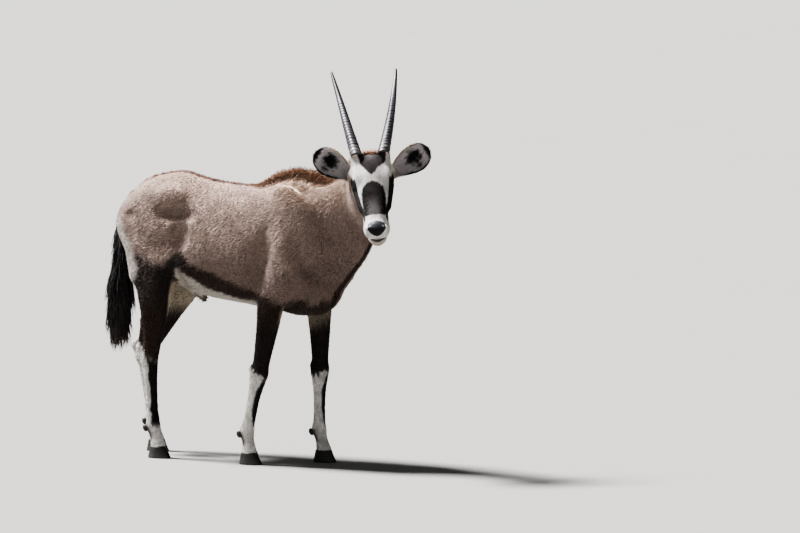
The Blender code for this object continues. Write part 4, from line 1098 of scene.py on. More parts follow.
def make_ear(side_name):
    """A cupped leaf, rolled nearly into a tube at its root, with a dark rim and a dark patch in the cup."""
    side, rise = SIDES[side_name], EAR_RISE[side_name]
    root, opening = np.array(EAR_ROOT) * (1, side, 1), np.array(EAR_OPENING)
    axis = math.cos(rise) * np.array((0, side, 0)) + math.sin(rise) * np.array(EAR_UPWARD)
    across = np.cross(opening, axis)
    steps = 1 - (np.linspace(1.0, 0, EAR_STEPS) ** 1.35) * 1.10
    turns = np.sin(np.linspace(-math.pi / 2, math.pi / 2, EAR_TURNS))
    widths = curve_through(EAR_WIDTHS, 6)
    rings, places = [], []
    for t in steps:
        wrap = math.radians(reading(EAR_WRAP, t))
        radius = reading(widths, t) / 2 / math.sin(min(wrap, math.pi / 2))
        ring = []
        for wall, order in ((0.0006, turns), (EAR_WALL * 0.9, turns[::-1])):
            for u in order:
                angle = u * wrap
                thick = wall * (1 - 0.55 * abs(u) ** 3)
                wave = 0.0015 * math.sin(9 * t + 4 * u)
                point = (root + axis * EAR_LENGTH * t + across * (radius + thick) * math.sin(angle)
                         - opening * ((radius + thick) * math.cos(angle) - radius * math.cos(wrap) - wave))
                ring.append(TURN @ point + PLACE)
                places.append((t, u * side, wall < 0.001))
        rings.append(ring)
    ear = loft(f"ear_{side_name}_skin", rings)
    points, normals = surface(ear.data)
    t, upper, inner = np.array(places).T
    uneven = wobble(points, 0.010, 21)
    # painted light through the thin ear over its pale inside
    colour = all_over(LIT_EAR_CUP, points)
    colour = blend(colour, WHITE, 0.22 * smooth(uneven, -0.4, 0.9) + 0.25 * smooth(upper, -0.20, -0.55))
    patch = np.hypot((t - 0.60) / 0.165, (upper - 0.12) / 0.48) + 0.38 * uneven
    colour = blend(colour, BLACK, smooth(patch, 1.15, 0.92))
    spot = np.hypot((t - 0.62) / 0.07, (upper + 0.56) / 0.17) + 0.25 * uneven
    colour = blend(colour, BLACK, 0.9 * smooth(spot, 1.2, 0.8))
    colour = blend(colour, FAWN, 1.0 - inner)
    colour = blend(colour, CREAM, smooth(upper, 0.80, 0.93) * smooth(t, 0.86, 0.72))
    rim = np.maximum(smooth(-upper + 0.04 * uneven, 0.84, 0.93), smooth(t + 0.02 * uneven, 0.86, 0.92))
    rim = np.maximum(rim, smooth(upper, 0.90, 0.96) * smooth(t, 0.70, 0.82))
    colour = blend(colour, BLACK, rim * smooth(t, 0.18, 0.30))
    inside = inner * smooth(t, 0.05, 0.2)
    write(ear.data, coat=colour, lie=along_skin(TURN @ axis, normals), rise=1,
          size=0.0075 + 0.0075 * inside * smooth(t, 0.95, 0.7), fur=np.where(t < 0.0, 0.0, 1.0),
          place=unwrap(0.25 + 0.22 * upper + 0.5 * inner, 0.05 + 0.85 * t))
    return ear


IRIS = (0.030, 0.014, 0.007)
PUPIL = (0.006, 0.004, 0.003)
EYE_RIM = (0.010, 0.007, 0.006)


def make_eye(side_name):
    """A dark globe with a brown iris and a level pupil."""
    side = SIDES[side_name]
    centre = TURN @ (np.array(EYE) * (1, side, 1)) + PLACE
    looks = TURN @ unit(np.array(EYE_LOOKS) * (1, side, 1))
    level = unit(np.cross(looks, (0, 0, 1)))
    bm = bmesh.new()
    bmesh.ops.create_uvsphere(bm, u_segments=72, v_segments=48, radius=EYE_RADIUS)
    bm.transform(Matrix.Translation(centre))
    mesh = mesh_from(bm, "eye")
    way = unit(surface(mesh)[0] - centre)
    away = np.arccos(np.clip(way @ looks, -1, 1))
    flat, tall = way @ level, way @ np.cross(level, looks)
    colour = blend(all_over(IRIS, way), PUPIL, smooth(np.hypot(flat / 0.42, tall / 0.22), 1.1, 0.8))
    write(mesh, coat=blend(colour, EYE_RIM, smooth(away, 0.72, 0.85)))
    return add_object(f"eye_{side_name}_globe", mesh)


CLAW_LEVELS = 12
CLAW_GAP = 0.0012  # least distance of a claw from the cleft
DEWCLAW_AT = (-0.028, 0.017, -0.010)  # from the fetlock, with Y outwards
DEWCLAW_TURN = math.radians(-25)
DEWCLAW_TINT = (0.032, 0.029, 0.027)


def make_claw(name, coronet, out):
    """One claw, from the sole up to the coronet, with faint rings of growth. `out` is the way it faces."""
    rings, colours = [], []
    sole, top = (curve_through([*outline, outline[0]], 6)[:-1] for outline in (CLAW_SOLE, CLAW_TOP))
    for level in np.linspace(0, 1, CLAW_LEVELS):
        t = level**0.8
        tuck = 0.0022 * (1 - smooth(level, 0, 0.12))
        outline = sole * (1 - t) + top * t
        outline = outline - np.sign(outline) * tuck * (np.abs(outline) > 0.007)
        growth = math.sin(level * 40)
        centre = outline.mean(0)
        outline = centre + (outline - centre) * (1 + 0.010 * growth)
        z = (CORONET - 0.0003) * level
        rings.append([(coronet[0] + px, coronet[1] + out * max(py, CLAW_GAP), z) for px, py in outline])
        tone = 0.030 + 0.035 * (1 - level) ** 3 + 0.006 * growth
        colours.append(all_over((tone * 1.06, tone, tone * 0.95), outline))
    claw = loft(name, rings)
    write(claw.data, coat=np.vstack(colours))
    return claw


def make_dewclaw(name, fetlock, out):
    """One small claw behind the fetlock."""
    bm = bmesh.new()
    bmesh.ops.create_uvsphere(bm, u_segments=20, v_segments=14, radius=1)
    back, aside, up = DEWCLAW_AT
    place = Vector(fetlock) + Vector((back, out * aside, up))
    turn = Matrix.Rotation(DEWCLAW_TURN, 4, "Y")
    bm.transform(Matrix.Translation(place) @ turn @ Matrix.Diagonal((*DEWCLAW, 1)))
    mesh = mesh_from(bm, "dewclaw")
    write(mesh, coat=all_over(DEWCLAW_TINT, mesh.vertices))
    return add_object(name, mesh)


def make_claws(leg, side_name, joints):
    """The claws and dewclaws of a foot, each with the name of the node that it stands for."""
    side = SIDES[side_name]
    fetlock, coronet = (np.array(joint) * (1, side, 1) for joint in joints[3:])
    for half, out in (("outer", side), ("inner", -side)):
        for make, kind, place in ((make_claw, "claw", coronet), (make_dewclaw, "dewclaw", fetlock)):
            node = f"{leg}_{side_name}_{kind}_{half}"
            yield make(f"{node}_horn", place, out), node


def operator(operation, swapped=False):
    """An operator of Wire, which adds a Math node."""
    def apply(wire, other):
        first, second = (other, wire) if swapped else (wire, other)
        return wire.graph.add("ShaderNodeMath", {"operation": operation}, {0: first, 1: second})
    return apply


class Wire:
    """A socket of a tree that can be used in sums."""

    def __init__(self, graph, socket):
        self.graph, self.socket = graph, socket

    __add__, __radd__ = operator("ADD"), operator("ADD", True)
    __sub__, __rsub__ = operator("SUBTRACT"), operator("SUBTRACT", True)
    __mul__, __rmul__ = operator("MULTIPLY"), operator("MULTIPLY", True)
    __pow__ = operator("POWER")


class Graph:
    """Adds nodes to a shader or geometry tree."""

    def __init__(self, tree):
        self.tree = tree

    def add(self, kind, settings=None, values=None, out=None):
        """A node of a kind, with its settings, then its sockets' values or links. Gives the wire from
        the output that `out` names, or from the first."""
        node = self.tree.nodes.new(kind)
        for name, setting in (settings or {}).items():
            setattr(node, name, setting)
        for name, value in (values or {}).items():
            socket = node.inputs[name] if isinstance(name, int) else self.live(node.inputs, name)
            if isinstance(value, Wire):
                self.tree.links.new(value.socket, socket)
            else:
                socket.default_value = value
        outputs = [socket for socket in node.outputs if socket.enabled]
        return Wire(self, self.live(outputs, out) if out else outputs[0])

    def noise(self, vector, scale, detail):
        return self.add("ShaderNodeTexNoise", None, {"Vector": vector, "Scale": scale, "Detail": detail},
                        "Fac")

    def attribute(self, name, out="Fac"):
        return self.add("ShaderNodeAttribute", {"attribute_name": name}, None, out)

    def scaled(self, vector, share):
        return self.add("ShaderNodeVectorMath", {"operation": "SCALE"}, {"Vector": vector, "Scale": share})

    def lead(self, shader, wires):
        """Links wires to a shader's sockets, by name."""
        for name, wire in wires.items():
            self.tree.links.new(wire.socket, shader.inputs[name])

    @staticmethod
    def live(sockets, name):
        return next(socket for socket in sockets if socket.name == name and socket.enabled)


COAT_INPUTS = {"Skin": "Geometry", "Tuft": "Object", "Density": "Float", "Seed": "Int", "Length": "Float",
               "Width": "Float", "Thickness": "Float", "Spread": "Float", "Lift": "Float",
               "Unevenness": "Float", "Finish": "Material"}
PATCH_SIZE = 0.003  # how much of the unwrap one tuft takes


def coat_tree():
    """Tufts over a skin, turned to the lie of its hair, each carrying its root's colour."""
    tree = bpy.data.node_groups.new("coat", "GeometryNodeTree")
    for name, kind in COAT_INPUTS.items():
        tree.interface.new_socket(name=name, in_out="INPUT", socket_type=f"NodeSocket{kind}")
    tree.interface.new_socket(name="Coat", in_out="OUTPUT", socket_type="NodeSocketGeometry")
    graph = Graph(tree)
    entry = tree.nodes.new("NodeGroupInput")

    def given(name):
        return Wire(graph, entry.outputs[name])

    def stored(name, kind):
        return graph.add("GeometryNodeInputNamedAttribute", {"data_type": kind}, {"Name": name}, "Attribute")

    def chance(low, high, step):
        return graph.add("FunctionNodeRandomValue", {"data_type": "FLOAT"},
                         {"Min": low, "Max": high, "Seed": given("Seed") + step}, "Value")

    def turned(rotation, axis, angle):
        more = graph.add("FunctionNodeAxisAngleToRotation", None, {"Axis": axis, "Angle": angle})
        return graph.add("FunctionNodeRotateRotation", {"rotation_space": "LOCAL"},
                         {"Rotation": rotation, "Rotate By": more})

    density = given("Density") * stored("fur", "FLOAT")
    points = graph.add("GeometryNodeDistributePointsOnFaces", {"distribute_method": "RANDOM"},
                       {"Mesh": given("Skin"), "Density": density, "Seed": given("Seed")}, "Points")
    normal = Wire(graph, points.socket.node.outputs["Normal"])
    tinted = graph.scaled(stored("coat", "FLOAT_COLOR"), chance(0.58, 1.38, 1))
    points = graph.add("GeometryNodeStoreNamedAttribute", {"data_type": "FLOAT_COLOR", "domain": "POINT"},
                       {"Geometry": points, "Name": "coat", "Value": tinted})
    turn = graph.add("FunctionNodeAlignRotationToVector", {"axis": "Z"}, {"Vector": normal})
    turn = graph.add("FunctionNodeAlignRotationToVector", {"axis": "X", "pivot_axis": "Z"},
                     {"Rotation": turn, "Vector": stored("lie", "FLOAT_VECTOR")})
    turn = turned(turn, (0, 0, 1), given("Spread") * chance(-1, 1, 2))
    rise = given("Lift") * stored("rise", "FLOAT") * (1 + given("Unevenness") * chance(-1, 1, 3))
    turn = turned(turn, (0, -1, 0), rise)
    long = given("Length") * stored("size", "FLOAT") * (1 + given("Unevenness") * chance(-0.8, 0.5, 4))
    wide = given("Width") * chance(0.7, 1.25, 5)
    scale = graph.add("ShaderNodeCombineXYZ", None, {"X": long, "Y": wide, "Z": given("Thickness")})
    tuft = graph.add("GeometryNodeObjectInfo", None, {"Object": given("Tuft")}, "Geometry")
    coat = graph.add("GeometryNodeInstanceOnPoints", None,
                     {"Points": points, "Instance": tuft, "Rotation": turn, "Scale": scale})
    coat = graph.add("GeometryNodeRealizeInstances", None, {"Geometry": coat})
    place = graph.add("ShaderNodeVectorMath", {"operation": "ADD"},
                      {0: stored("place", "FLOAT_VECTOR"),
                       1: graph.scaled(stored("local", "FLOAT_VECTOR"), PATCH_SIZE)})
    coat = graph.add("GeometryNodeStoreNamedAttribute", {"data_type": "FLOAT2", "domain": "CORNER"},
                     {"Geometry": coat, "Name": "OFBake", "Value": place})
    coat = graph.add("GeometryNodeSetShadeSmooth", None, {"Geometry": coat})
    coat = graph.add("GeometryNodeSetMaterial", None, {"Geometry": coat, "Material": given("Finish")})
    tree.links.new(coat.socket, tree.nodes.new("NodeGroupOutput").inputs["Coat"])
    return tree


# Tufts of unit length along X. Rows are place, height, sideways, width and thickness, the last a point
SHORT_TUFT = ((0, -0.6, 0, 1.15, 1.6), (1, 0.9, 0.1, 0, 0))
LONG_LOCK = ((0, -0.5, 0, 0.7, 1.0), (0.25, 0.4, 0.5, 1.0, 1.0), (0.5, 0.9, 0.2, 0.9, 0.9),
             (0.78, 0.9, -0.5, 0.6, 0.6), (1, 0.6, -0.2, 0, 0))


def make_tuft(name, rows):
    """A closed, three-sided tuft."""
    points, faces, local = [], [], []
    for x, z, y, width, thick in rows[:-1]:
        points += [(x, y - width / 2, z), (x, y + width / 2, z), (x, y, z + thick)]
        local += [(x, 0, 0), (x, 1, 0), (x, 0.5, 0)]
    x, z, y = rows[-1][:3]
    points.append((x, y, z))
    local.append((1, 0.5, 0))
    for a in range(0, 3 * (len(rows) - 2), 3):
        faces += [(a + i, a + j, a + 3 + j, a + 3 + i) for i, j in ((0, 1), (1, 2), (2, 0))]
    last, tip = 3 * (len(rows) - 2), len(points) - 1
    faces += [(last, last + 1, tip), (last + 1, last + 2, tip), (last + 2, last, tip), (0, 2, 1)]
    mesh = closed_mesh(name, points, faces, triangles=True)
    write(mesh, local=local, along=np.array(local)[:, 0])
    return add_object(name, mesh)


# How tufts stand: width, thickness, spread to the sides, lift off the skin, unevenness
TUFT_INPUTS = ("Width", "Thickness", "Spread", "Lift", "Unevenness")
BODY_TUFTS = (0.0019, 0.0009, 0.45, 0.17, 0.9)
HEAD_TUFTS = (0.0009, 0.0005, 0.45, 0.10, 0.9)
EAR_TUFTS = (0.0009, 0.0005, 0.50, 0.22, 0.9)
DOCK_TUFTS = (0.0018, 0.0009, 0.40, 0.12, 0.8)
CREST_TUFTS = (0.0024, 0.0013, 0.40, 0.80, 0.46)
TAIL_LOCKS = (0.0036, 0.0020, 0.24, 0.06, 0.55)
# Tufts to a square metre
DENSITY = {"head": 250000, "forelegs": 110000, "hind_legs": 110000, "crest": 180000, "dock": 90000,
           "ear": 190000}
TRUNK_DENSITY = 98000


def grow(name, base, tree, tuft, finish, density, seed, standing):
    """Grows tufts from `base` as one mesh."""
    base.modifiers.clear()
    modifier = base.modifiers.new("Coat", "NODES")
    modifier.node_group = tree
    given = {"Tuft": tuft, "Finish": finish, "Density": float(density), "Seed": seed, "Length": 1.0,
             **dict(zip(TUFT_INPUTS, standing))}
    for item in tree.interface.items_tree:
        if item.in_out == "INPUT" and item.name in given:
            modifier[item.identifier] = given[item.name]
    mesh = evaluated(base)
    base.modifiers.clear()
    forget(mesh, "lie", "size", "rise", "fur", "place", "local")
    return add_object(name, mesh)


def trunk_place(points):
    """Place on an unwrap of one side of the trunk or neck: along it, and round it from top to bottom."""
    x, y, z = points.T
    return unwrap((x + 0.62) / 1.32, np.arctan2(np.abs(y), z - 0.84) / math.pi)


def leg_place(points, joints):
    """Place on an unwrap of a pair of legs: round each leg, and up it."""
    u = np.zeros(len(points))
    for name, side in SIDES.items():
        ahead, out = leg_offsets(points, joints[name], side)
        angle = np.arctan2(ahead, out) / math.tau + 0.5
        own = np.where(points[:, 1] > 0, 1, -1) == side
        u = np.where(own, (0.02 if side > 0 else 0.52) + 0.46 * angle, u)
    return unwrap(u, 0.02 + points[:, 2] / 0.95)


def head_place(points):
    """Place on an unwrap of the head: round it, and down the face."""
    x, y, z = into_head(points).T
    return unwrap(0.5 + 0.49 * np.arctan2(y, z + 0.075) / math.pi, (x + 0.16) / 0.52)


def skin_regions(points):
    """The parts of the skin that carry a piece of coat each: name, where, place on its unwrap."""
    x, y, z = points.T
    head = head_share(points) > 0.02
    leg = (z < 0.60) & (np.abs(y) > 0.02) & ~head
    regions = [("head", head, head_place(points)),
               ("forelegs", leg & (x > -0.05), leg_place(points, FORE_JOINTS)),
               ("hind_legs", leg & (x <= -0.05), leg_place(points, HIND_JOINTS))]
    for name, side in SIDES.items():
        own = ~head & ~leg & (y * side >= 0)
        for part, low, high in (("rump", -1.0, -0.17), ("barrel", -0.17, 0.19), ("neck", 0.19, 1.0)):
            regions.append((f"{part}_{name}", own & (x >= low) & (x < high), trunk_place(points)))
    return regions


def fur_share(points):
    """How thickly tufts grow: none on the bare nose and lid rims, and under horns and ears."""
    local = into_head(points)
    share = 1 - pad_share(local)
    for side in SIDES.values():
        for place, low, high in ((EYE, 0.0195, 0.0215), (HORN_ROOT, 0.019, 0.023), (EAR_ROOT, 0.012, 0.018)):
            away = np.linalg.norm(local - np.array(place) * (1, side, 1), axis=1)
            share = share * smooth(away, low, high)
    return share


def dress_skin(skin, points, normals):
    """Paints the skin and says how its hair lies. Gives the paint."""
    paint = coat_colour(points, normals)
    local, crown = into_head(points), horn_tuft(points)
    shine = 1 - 0.7 * smooth(how_low(local), 0.480, 0.505)
    write(skin.data, coat=paint, lie=lie_of_hair(points, normals), size=hair_length(points) + 0.016 * crown,
          rise=1 + 8 * crown, bare=pad_share(local) * head_share(points) * shine)
    return paint


def grow_coats(skin, points, tree, tuft, finish):
    """The short fur, region by region."""
    share = fur_share(points)
    for i, (name, where, place) in enumerate(skin_regions(points)):
        write(skin.data, fur=share * where, place=place)
        density = DENSITY.get(name, TRUNK_DENSITY) * 1
        standing = HEAD_TUFTS if name == "head" else BODY_TUFTS
        yield grow(f"coat_{name}", skin, tree, tuft, finish, density, 10 * i + 1, standing)


CREST_START = 0.045  # where the ridge along the back ends and the crest starts, along X


def grow_crest(skin, points, normals, paint, tree, tuft, finish):
    """Hair that stands over the withers and the nape, leaning forwards, and low along the back."""
    x, y = points[:, 0], points[:, 1]
    line = curve_through(CREST, 8)
    off = np.abs(y - reading(line, x))
    height = reading(line, x, 3) * smooth(x, 0.03, 0.07)
    ragged = 0.007 * wobble(points, 0.018, 21)
    strip = smooth(off + ragged, 0.034, 0.012) * smooth(normals[:, 2], -0.10, 0.20) * (x < 0.55)
    back = smooth(x, 0.07, 0.04) * smooth(x, -0.57, -0.54)
    croup = 1 + 0.9 * smooth(x, -0.34, -0.42)
    ridge = smooth(off, 0.013 * croup, 0.005 * croup) * (normals[:, 2] > 0) * (back > 0)
    strip = np.where(x > CREST_START, strip, ridge) * (1 - head_share(points))
    height = np.maximum(height, BACK_RIDGE * back) * (1 + 0.45 * smooth(x, 0.44, 0.50))
    ahead = np.stack([np.where(x > CREST_START, 1.0, -1.0), 0 * off, np.full(len(off), 0.25)], 1)
    roots = blend(all_over(SANDY, points), GINGER, smooth(off, 0.020, 0.006))
    roots = blend(paint, roots, smooth(x, CREST_START, CREST_START + 0.015))
    write(skin.data, fur=strip, size=height * (0.40 + 0.62 * smooth(off, 0.026, 0.006)),
          rise=0.45 + 0.55 * smooth(off, 0.024, 0.008), lie=along_skin(ahead, normals), coat=roots,
          place=unwrap(trunk_place(points)[:, 0], 0.5 + y * 8))
    density = DENSITY["crest"] * 1
    crest = grow("crest_hair", skin, tree, tuft, finish, density, 301, CREST_TUFTS)
    write(skin.data, coat=paint)
    return crest


DOWN = np.array((0.0, 0.0, -1.0))


DOCK_BOX = ((-0.65, -0.10, 0.55), (-0.48, 0.10, 0.99))
DOCK_CELL = 0.003


def make_tail_dock():
    """The tail under its hair."""
    masses = [(Sweep(TAIL, (1, 0, 0), caps=(0.02, 0.01)), 0.01, None)]
    mesh = field_mesh(masses, *DOCK_BOX, DOCK_CELL)
    mesh.shade_smooth()
    points, normals = surface(mesh)
    turned = np.arctan2(points[:, 1], points[:, 0] + 0.565) / math.tau + 0.5
    write(mesh, coat=tail_colour(points), lie=along_skin(DOWN, normals), size=0.016, rise=1, fur=1,
          place=unwrap(turned, points[:, 2]))
    return add_object("tail_dock", mesh)


def tail_colour(points):
    _, y, z = points.T
    colour = blend(all_over(FAWN, points), BROWN, smooth(np.abs(y), 0.018, 0.008))
    colour = blend(colour, BLACK, smooth(z, 0.925, 0.895))
    ends = smooth(z + 0.02 * wobble(points, 0.02, 31), 0.50, 0.43)
    return blend(colour, np.array(RUSSET) * 0.45, 0.8 * ends)


# Layers of the tail's hair, outermost first: share of the full width, top, bottom, tufts to a square metre
TAIL_LAYERS = ((0.86, 0.880, 0.500, 30000), (0.62, 0.860, 0.490, 24000), (0.36, 0.840, 0.480, 20000))
SHELL_TURNS = 28
SHELL_STEPS = 24
TUFT_MIDDLE = -0.562  # along X


def tuft_shell(share, top, bottom):
    """A nested shell of the tail's hair, from which locks hang."""
    middles = [(z, x) for x, _, z, *_ in TAIL[::-1]]
    angles = math.tau * np.arange(SHELL_TURNS) / SHELL_TURNS
    rings = []
    for z in np.linspace(top, bottom, SHELL_STEPS):
        lump = 1 + 0.09 * np.sin(3 * angles + 11 * z) + 0.07 * np.sin(5 * angles - 23 * z)
        low = smooth(z, 0.68, 0.58)
        reach = reading(TUFT, z) * share * lump * (1 - 0.14 * low)
        high = smooth(z, 0.68, 0.76) * smooth(z, 0.87, 0.80)
        middle = reading(middles, z) - 0.010 * low + 0.010 * high
        rings.append(np.stack([middle + reach * np.cos(angles), reach * np.sin(angles), 0 * angles + z], 1))
    shell = loft("shell", rings)
    mesh = shell.data
    bm = bmesh.new()
    bm.from_mesh(mesh)
    bmesh.ops.delete(bm, geom=[face for face in bm.faces if len(face.verts) > 4], context="FACES_ONLY")
    bm.to_mesh(mesh)
    bm.free()
    points, normals = surface(mesh)
    turned, z = np.arctan2(points[:, 1], points[:, 0] - TUFT_MIDDLE), points[:, 2]
    strands = smooth(np.sin(6 * turned + 2 * np.sin(9 * z)), -0.9, 0.6)
    write(mesh, coat=tail_colour(points - (0, 0, 0.045)), lie=along_skin(DOWN, normals), rise=1,
          size=0.095 + 0.026 * np.sin(5 * turned + 1) - 0.028 * smooth(z, 0.56, 0.48),
          fur=(0.35 + 0.65 * strands) * smooth(z, top - 0.004, top - 0.016),
          place=unwrap(turned / math.tau + 0.5, (z - 0.40) * 2))
    return shell


def new_finish(name):
    """A new material, its graph, its shader and the place on the object that its patterns read."""
    made = bpy.data.materials.new(name)
    made.use_nodes = True
    graph = Graph(made.node_tree)
    position = graph.add("ShaderNodeTexCoord", None, None, "Object")
    return made, graph, made.node_tree.nodes["Principled BSDF"], position


def settle(shader, **values):
    """Sets plain numbers on a shader's own sockets."""
    for name, value in values.items():
        shader.inputs[name.replace("_", " ")].default_value = value


HAIR_SHEEN = 0.12
HAIR_ROUGHNESS = 0.62


def fur_finish(name, shine, skin=False, tip=None):
    """Hair: the painted colour, darker at the roots, with fine streaks, and darker tips if asked."""
    made, graph, shader, position = new_finish(name)
    settle(shader, Specular_IOR_Level=shine, Sheen_Weight=0.0 if skin else HAIR_SHEEN)
    painted_colour = graph.attribute("coat", "Color")
    stretched = graph.add("ShaderNodeMapping", None, {"Vector": position, "Scale": (1.0, 1.6, 0.55)})
    streaks = graph.noise(stretched, 260, 3)
    tone = 0.60 + 0.50 * streaks + 0.30 * graph.noise(stretched, 45, 2)
    if not skin:
        along = graph.attribute("along")
        tone = tone * (0.72 + 0.46 * along)
        if tip:
            painted_colour = graph.add("ShaderNodeMix", {"data_type": "RGBA"},
                                       {"Factor": along ** 1.5, 6: painted_colour, 7: tip}, "Result")
        settle(shader, Roughness=HAIR_ROUGHNESS)
    graph.lead(shader, {"Base Color": graph.scaled(painted_colour, tone)})
    if skin:
        bare = graph.attribute("bare")
        pebbles = graph.add("ShaderNodeTexVoronoi", None, {"Vector": position, "Scale": 520}, "Distance")
        height = bare * pebbles * 0.6 + (1 - bare) * streaks
        bump = graph.add("ShaderNodeBump", None, {"Height": height, "Distance": 0.0006, "Strength": 0.7})
        graph.lead(shader, {"Roughness": 0.85 - 0.43 * bare, "Normal": bump})
    return made


def horn_finish(name, scale, depth, roughness):
    """Horn or hoof: the painted colour under fine lengthwise lines, with worn, duller patches."""
    made, graph, shader, position = new_finish(name)
    lines = graph.add("ShaderNodeMapping", None, {"Vector": position, "Scale": (1.0, 1.0, 0.12)})
    grain, wear = graph.noise(lines, scale, 4), graph.noise(position, 60, 3)
    colour = graph.scaled(graph.attribute("coat", "Color"), 0.45 + 0.65 * grain + 0.45 * wear)
    bump = graph.add("ShaderNodeBump", None, {"Height": grain, "Distance": depth, "Strength": 0.6})
    graph.lead(shader, {"Base Color": colour, "Roughness": roughness + 0.25 * (wear - 0.5), "Normal": bump})
    return made


def eye_finish():
    """A wet globe: the painted iris under a clear gloss."""
    made, graph, shader, position = new_finish("wet_eye")
    fibres = graph.noise(position, 900, 2)
    graph.lead(shader, {"Base Color": graph.scaled(graph.attribute("coat", "Color"), 0.6 + 0.8 * fibres)})
    settle(shader, Roughness=0.12, Coat_Weight=1.0, Coat_Roughness=0.02)
    return made


FLOOR_TONES = ((0.220, 0.214, 0.205, 1), (0.240, 0.234, 0.225, 1))
FLOOR_REACH = 150


def floor_finish():
    made, graph, shader, position = new_finish("pale_floor")
    first, second = FLOOR_TONES
    colour = graph.add("ShaderNodeMix", {"data_type": "RGBA"},
                       {"Factor": graph.noise(position, 0.6, 3), 6: first, 7: second}, "Result")
    graph.lead(shader, {"Base Color": colour})
    settle(shader, Roughness=0.9)
    return made


# The view: the photograph is taken from far off, so it shows the animal almost without perspective
METRES_PER_PIXEL = 0.00385
IMAGE_WIDTH, IMAGE_HEIGHT = 800, 533
ORIGIN_PIXEL = (245, 460)  # where the animal's own origin stands in the photograph
AZIMUTH, ELEVATION = math.radians(30), math.radians(5)
DISTANCE = 26.0
SENSOR = 36

# Lights: name, strength, width in degrees, and where each stands. The sky fills in the rest
LIGHTS = (("key", 14.0, 12, (-0.54, -0.06, 0.84)), ("fill", 0.25, 60, (0.8, -0.9, 0.5)))
SKY = (0.95, 0.97, 1.0, 1)
SKY_STRENGTH = 0.17


def add_aimed(name, data, back):
    """A camera or a lamp that looks along -`back`."""
    made = bpy.data.objects.new(name, data)
    made.rotation_mode = "QUATERNION"
    made.rotation_quaternion = back.to_track_quat("Z", "Y")
    bpy.context.scene.collection.objects.link(made)
    return made


def make_camera(shift):
    """The photograph's view, with its framing kept by where the camera stands."""
    right = Vector((math.cos(AZIMUTH), math.sin(AZIMUTH), 0))
    back = Vector((math.sin(AZIMUTH) * math.cos(ELEVATION), -math.cos(AZIMUTH) * math.cos(ELEVATION),
                   math.sin(ELEVATION)))
    up = back.cross(right)
    across = (IMAGE_WIDTH / 2 - ORIGIN_PIXEL[0]) * METRES_PER_PIXEL
    above = (ORIGIN_PIXEL[1] - IMAGE_HEIGHT / 2) * METRES_PER_PIXEL
    data = bpy.data.cameras.new("view")
    data.sensor_width = SENSOR
    data.lens = SENSOR * DISTANCE / (IMAGE_WIDTH * METRES_PER_PIXEL)
    data.clip_end = 500
    camera = add_aimed("view", data, back)
    camera.location = Vector(shift) + right * across + up * above + back * DISTANCE
    bpy.context.scene.camera = camera


def make_stage():
    """The floor, the lights and the sky."""
    bm = bmesh.new()
    bmesh.ops.create_grid(bm, x_segments=1, y_segments=1, size=FLOOR_REACH)
    mesh = mesh_from(bm, "floor")
    mesh.materials.append(floor_finish())
    add_object("floor", mesh)
    for name, strength, width, source in LIGHTS:
        light = bpy.data.lights.new(name, "SUN")
        light.energy = strength
        light.angle = math.radians(width)
        add_aimed(name, light, Vector(source))
    world = bpy.data.worlds.new("studio")
    world.use_nodes = True
    settle(world.node_tree.nodes["Background"], Color=SKY, Strength=SKY_STRENGTH)
    bpy.context.scene.world = world
    bpy.context.scene.view_settings.look = "AgX - High Contrast"


def finish_piece(piece, finish, slot, shift, nodes):
    """Sets a piece in the shared frame, gives it its finish and hides the parts of the model that it stands
    for.
    """
    piece.data.transform(Matrix.Translation(shift))
    piece.data.materials.clear()
    piece.data.materials.append(finish)
    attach(piece, BODY)
    if nodes:
        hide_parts(*nodes)


CREST_TIPS = (0.095, 0.032, 0.015, 1)
FLESH = ("torso", "neck", "head", *(f"{leg}_{side}_{part}" for leg in ("fore", "hind") for side in SIDES
                                    for part in ("upper", "cannon")))


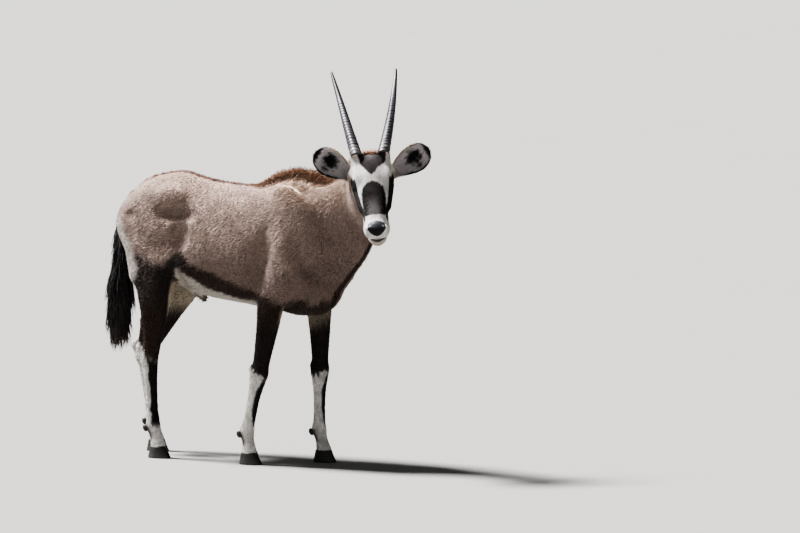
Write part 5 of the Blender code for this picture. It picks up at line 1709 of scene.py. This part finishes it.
def main():
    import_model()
    low, high = (np.array(corner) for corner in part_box("eye_right"))
    shift = Vector((low + high) / 2 - (TURN @ (np.array(EYE) * (1, -1, 1)) + PLACE))
    make_camera(shift)
    make_stage()

    hair = fur_finish("hair", shine=0.25)
    bare_skin = fur_finish("skin_under_coat", shine=0.30, skin=True)
    long_hair = fur_finish("long_hair", shine=0.45)
    crest_finish = fur_finish("crest_hair", shine=0.35, tip=CREST_TIPS)
    keratin = horn_finish("keratin", scale=420, depth=0.0004, roughness=0.48)
    hoof = horn_finish("hoof", scale=300, depth=0.0003, roughness=0.50)
    wet = eye_finish()
    tree = coat_tree()
    short, long = make_tuft("short_tuft", SHORT_TUFT), make_tuft("long_lock", LONG_LOCK)

    skin = make_skin()
    points, normals = surface(skin.data)
    paint = dress_skin(skin, points, normals)
    pieces = [(coat, hair, "coat", ()) for coat in grow_coats(skin, points, tree, short, hair)]
    crest = grow_crest(skin, points, normals, paint, tree, long, crest_finish)
    pieces.append((crest, crest_finish, "coat", ()))

    dock = make_tail_dock()
    dock_hair = grow("coat_tail_dock", dock, tree, short, hair, DENSITY["dock"], 311, DOCK_TUFTS)
    pieces += [(dock_hair, hair, "tail_hair", ()), (dock, bare_skin, "tail_hair", ("tail",))]
    for i, (share, top, bottom, density) in enumerate(TAIL_LAYERS):
        shell = tuft_shell(share, top, bottom)
        locks = grow(f"tail_hair_{i + 1}", shell, tree, long, long_hair, density, 321 + i, TAIL_LOCKS)
        drop(shell)
        pieces.append((locks, long_hair, "tail_hair", ()))

    for side in SIDES:
        ear = make_ear(side)
        fringe = grow(f"coat_ear_{side}", ear, tree, short, hair, DENSITY["ear"], 341, EAR_TUFTS)
        pieces += [(ear, bare_skin, "white_fur", (f"ear_{side}",)), (fringe, hair, "white_fur", ()),
                   (make_horn(side), keratin, "horn", (f"horn_{side}",)),
                   (make_eye(side), wet, "eye", (f"eye_{side}",))]
        for leg, joints in (("fore", FORE_JOINTS), ("hind", HIND_JOINTS)):
            pieces += [(claw, hoof, "hoof", (node,)) for claw, node in make_claws(leg, side, joints[side])]
    pieces.append((skin, bare_skin, "coat", FLESH))

    for tuft in (short, long):
        drop(tuft)
    for piece, finish, slot, nodes in pieces:
        forget(piece.data, "fur", "size", "rise", "lie", "place")
        finish_piece(piece, finish, slot, shift, nodes)


main()
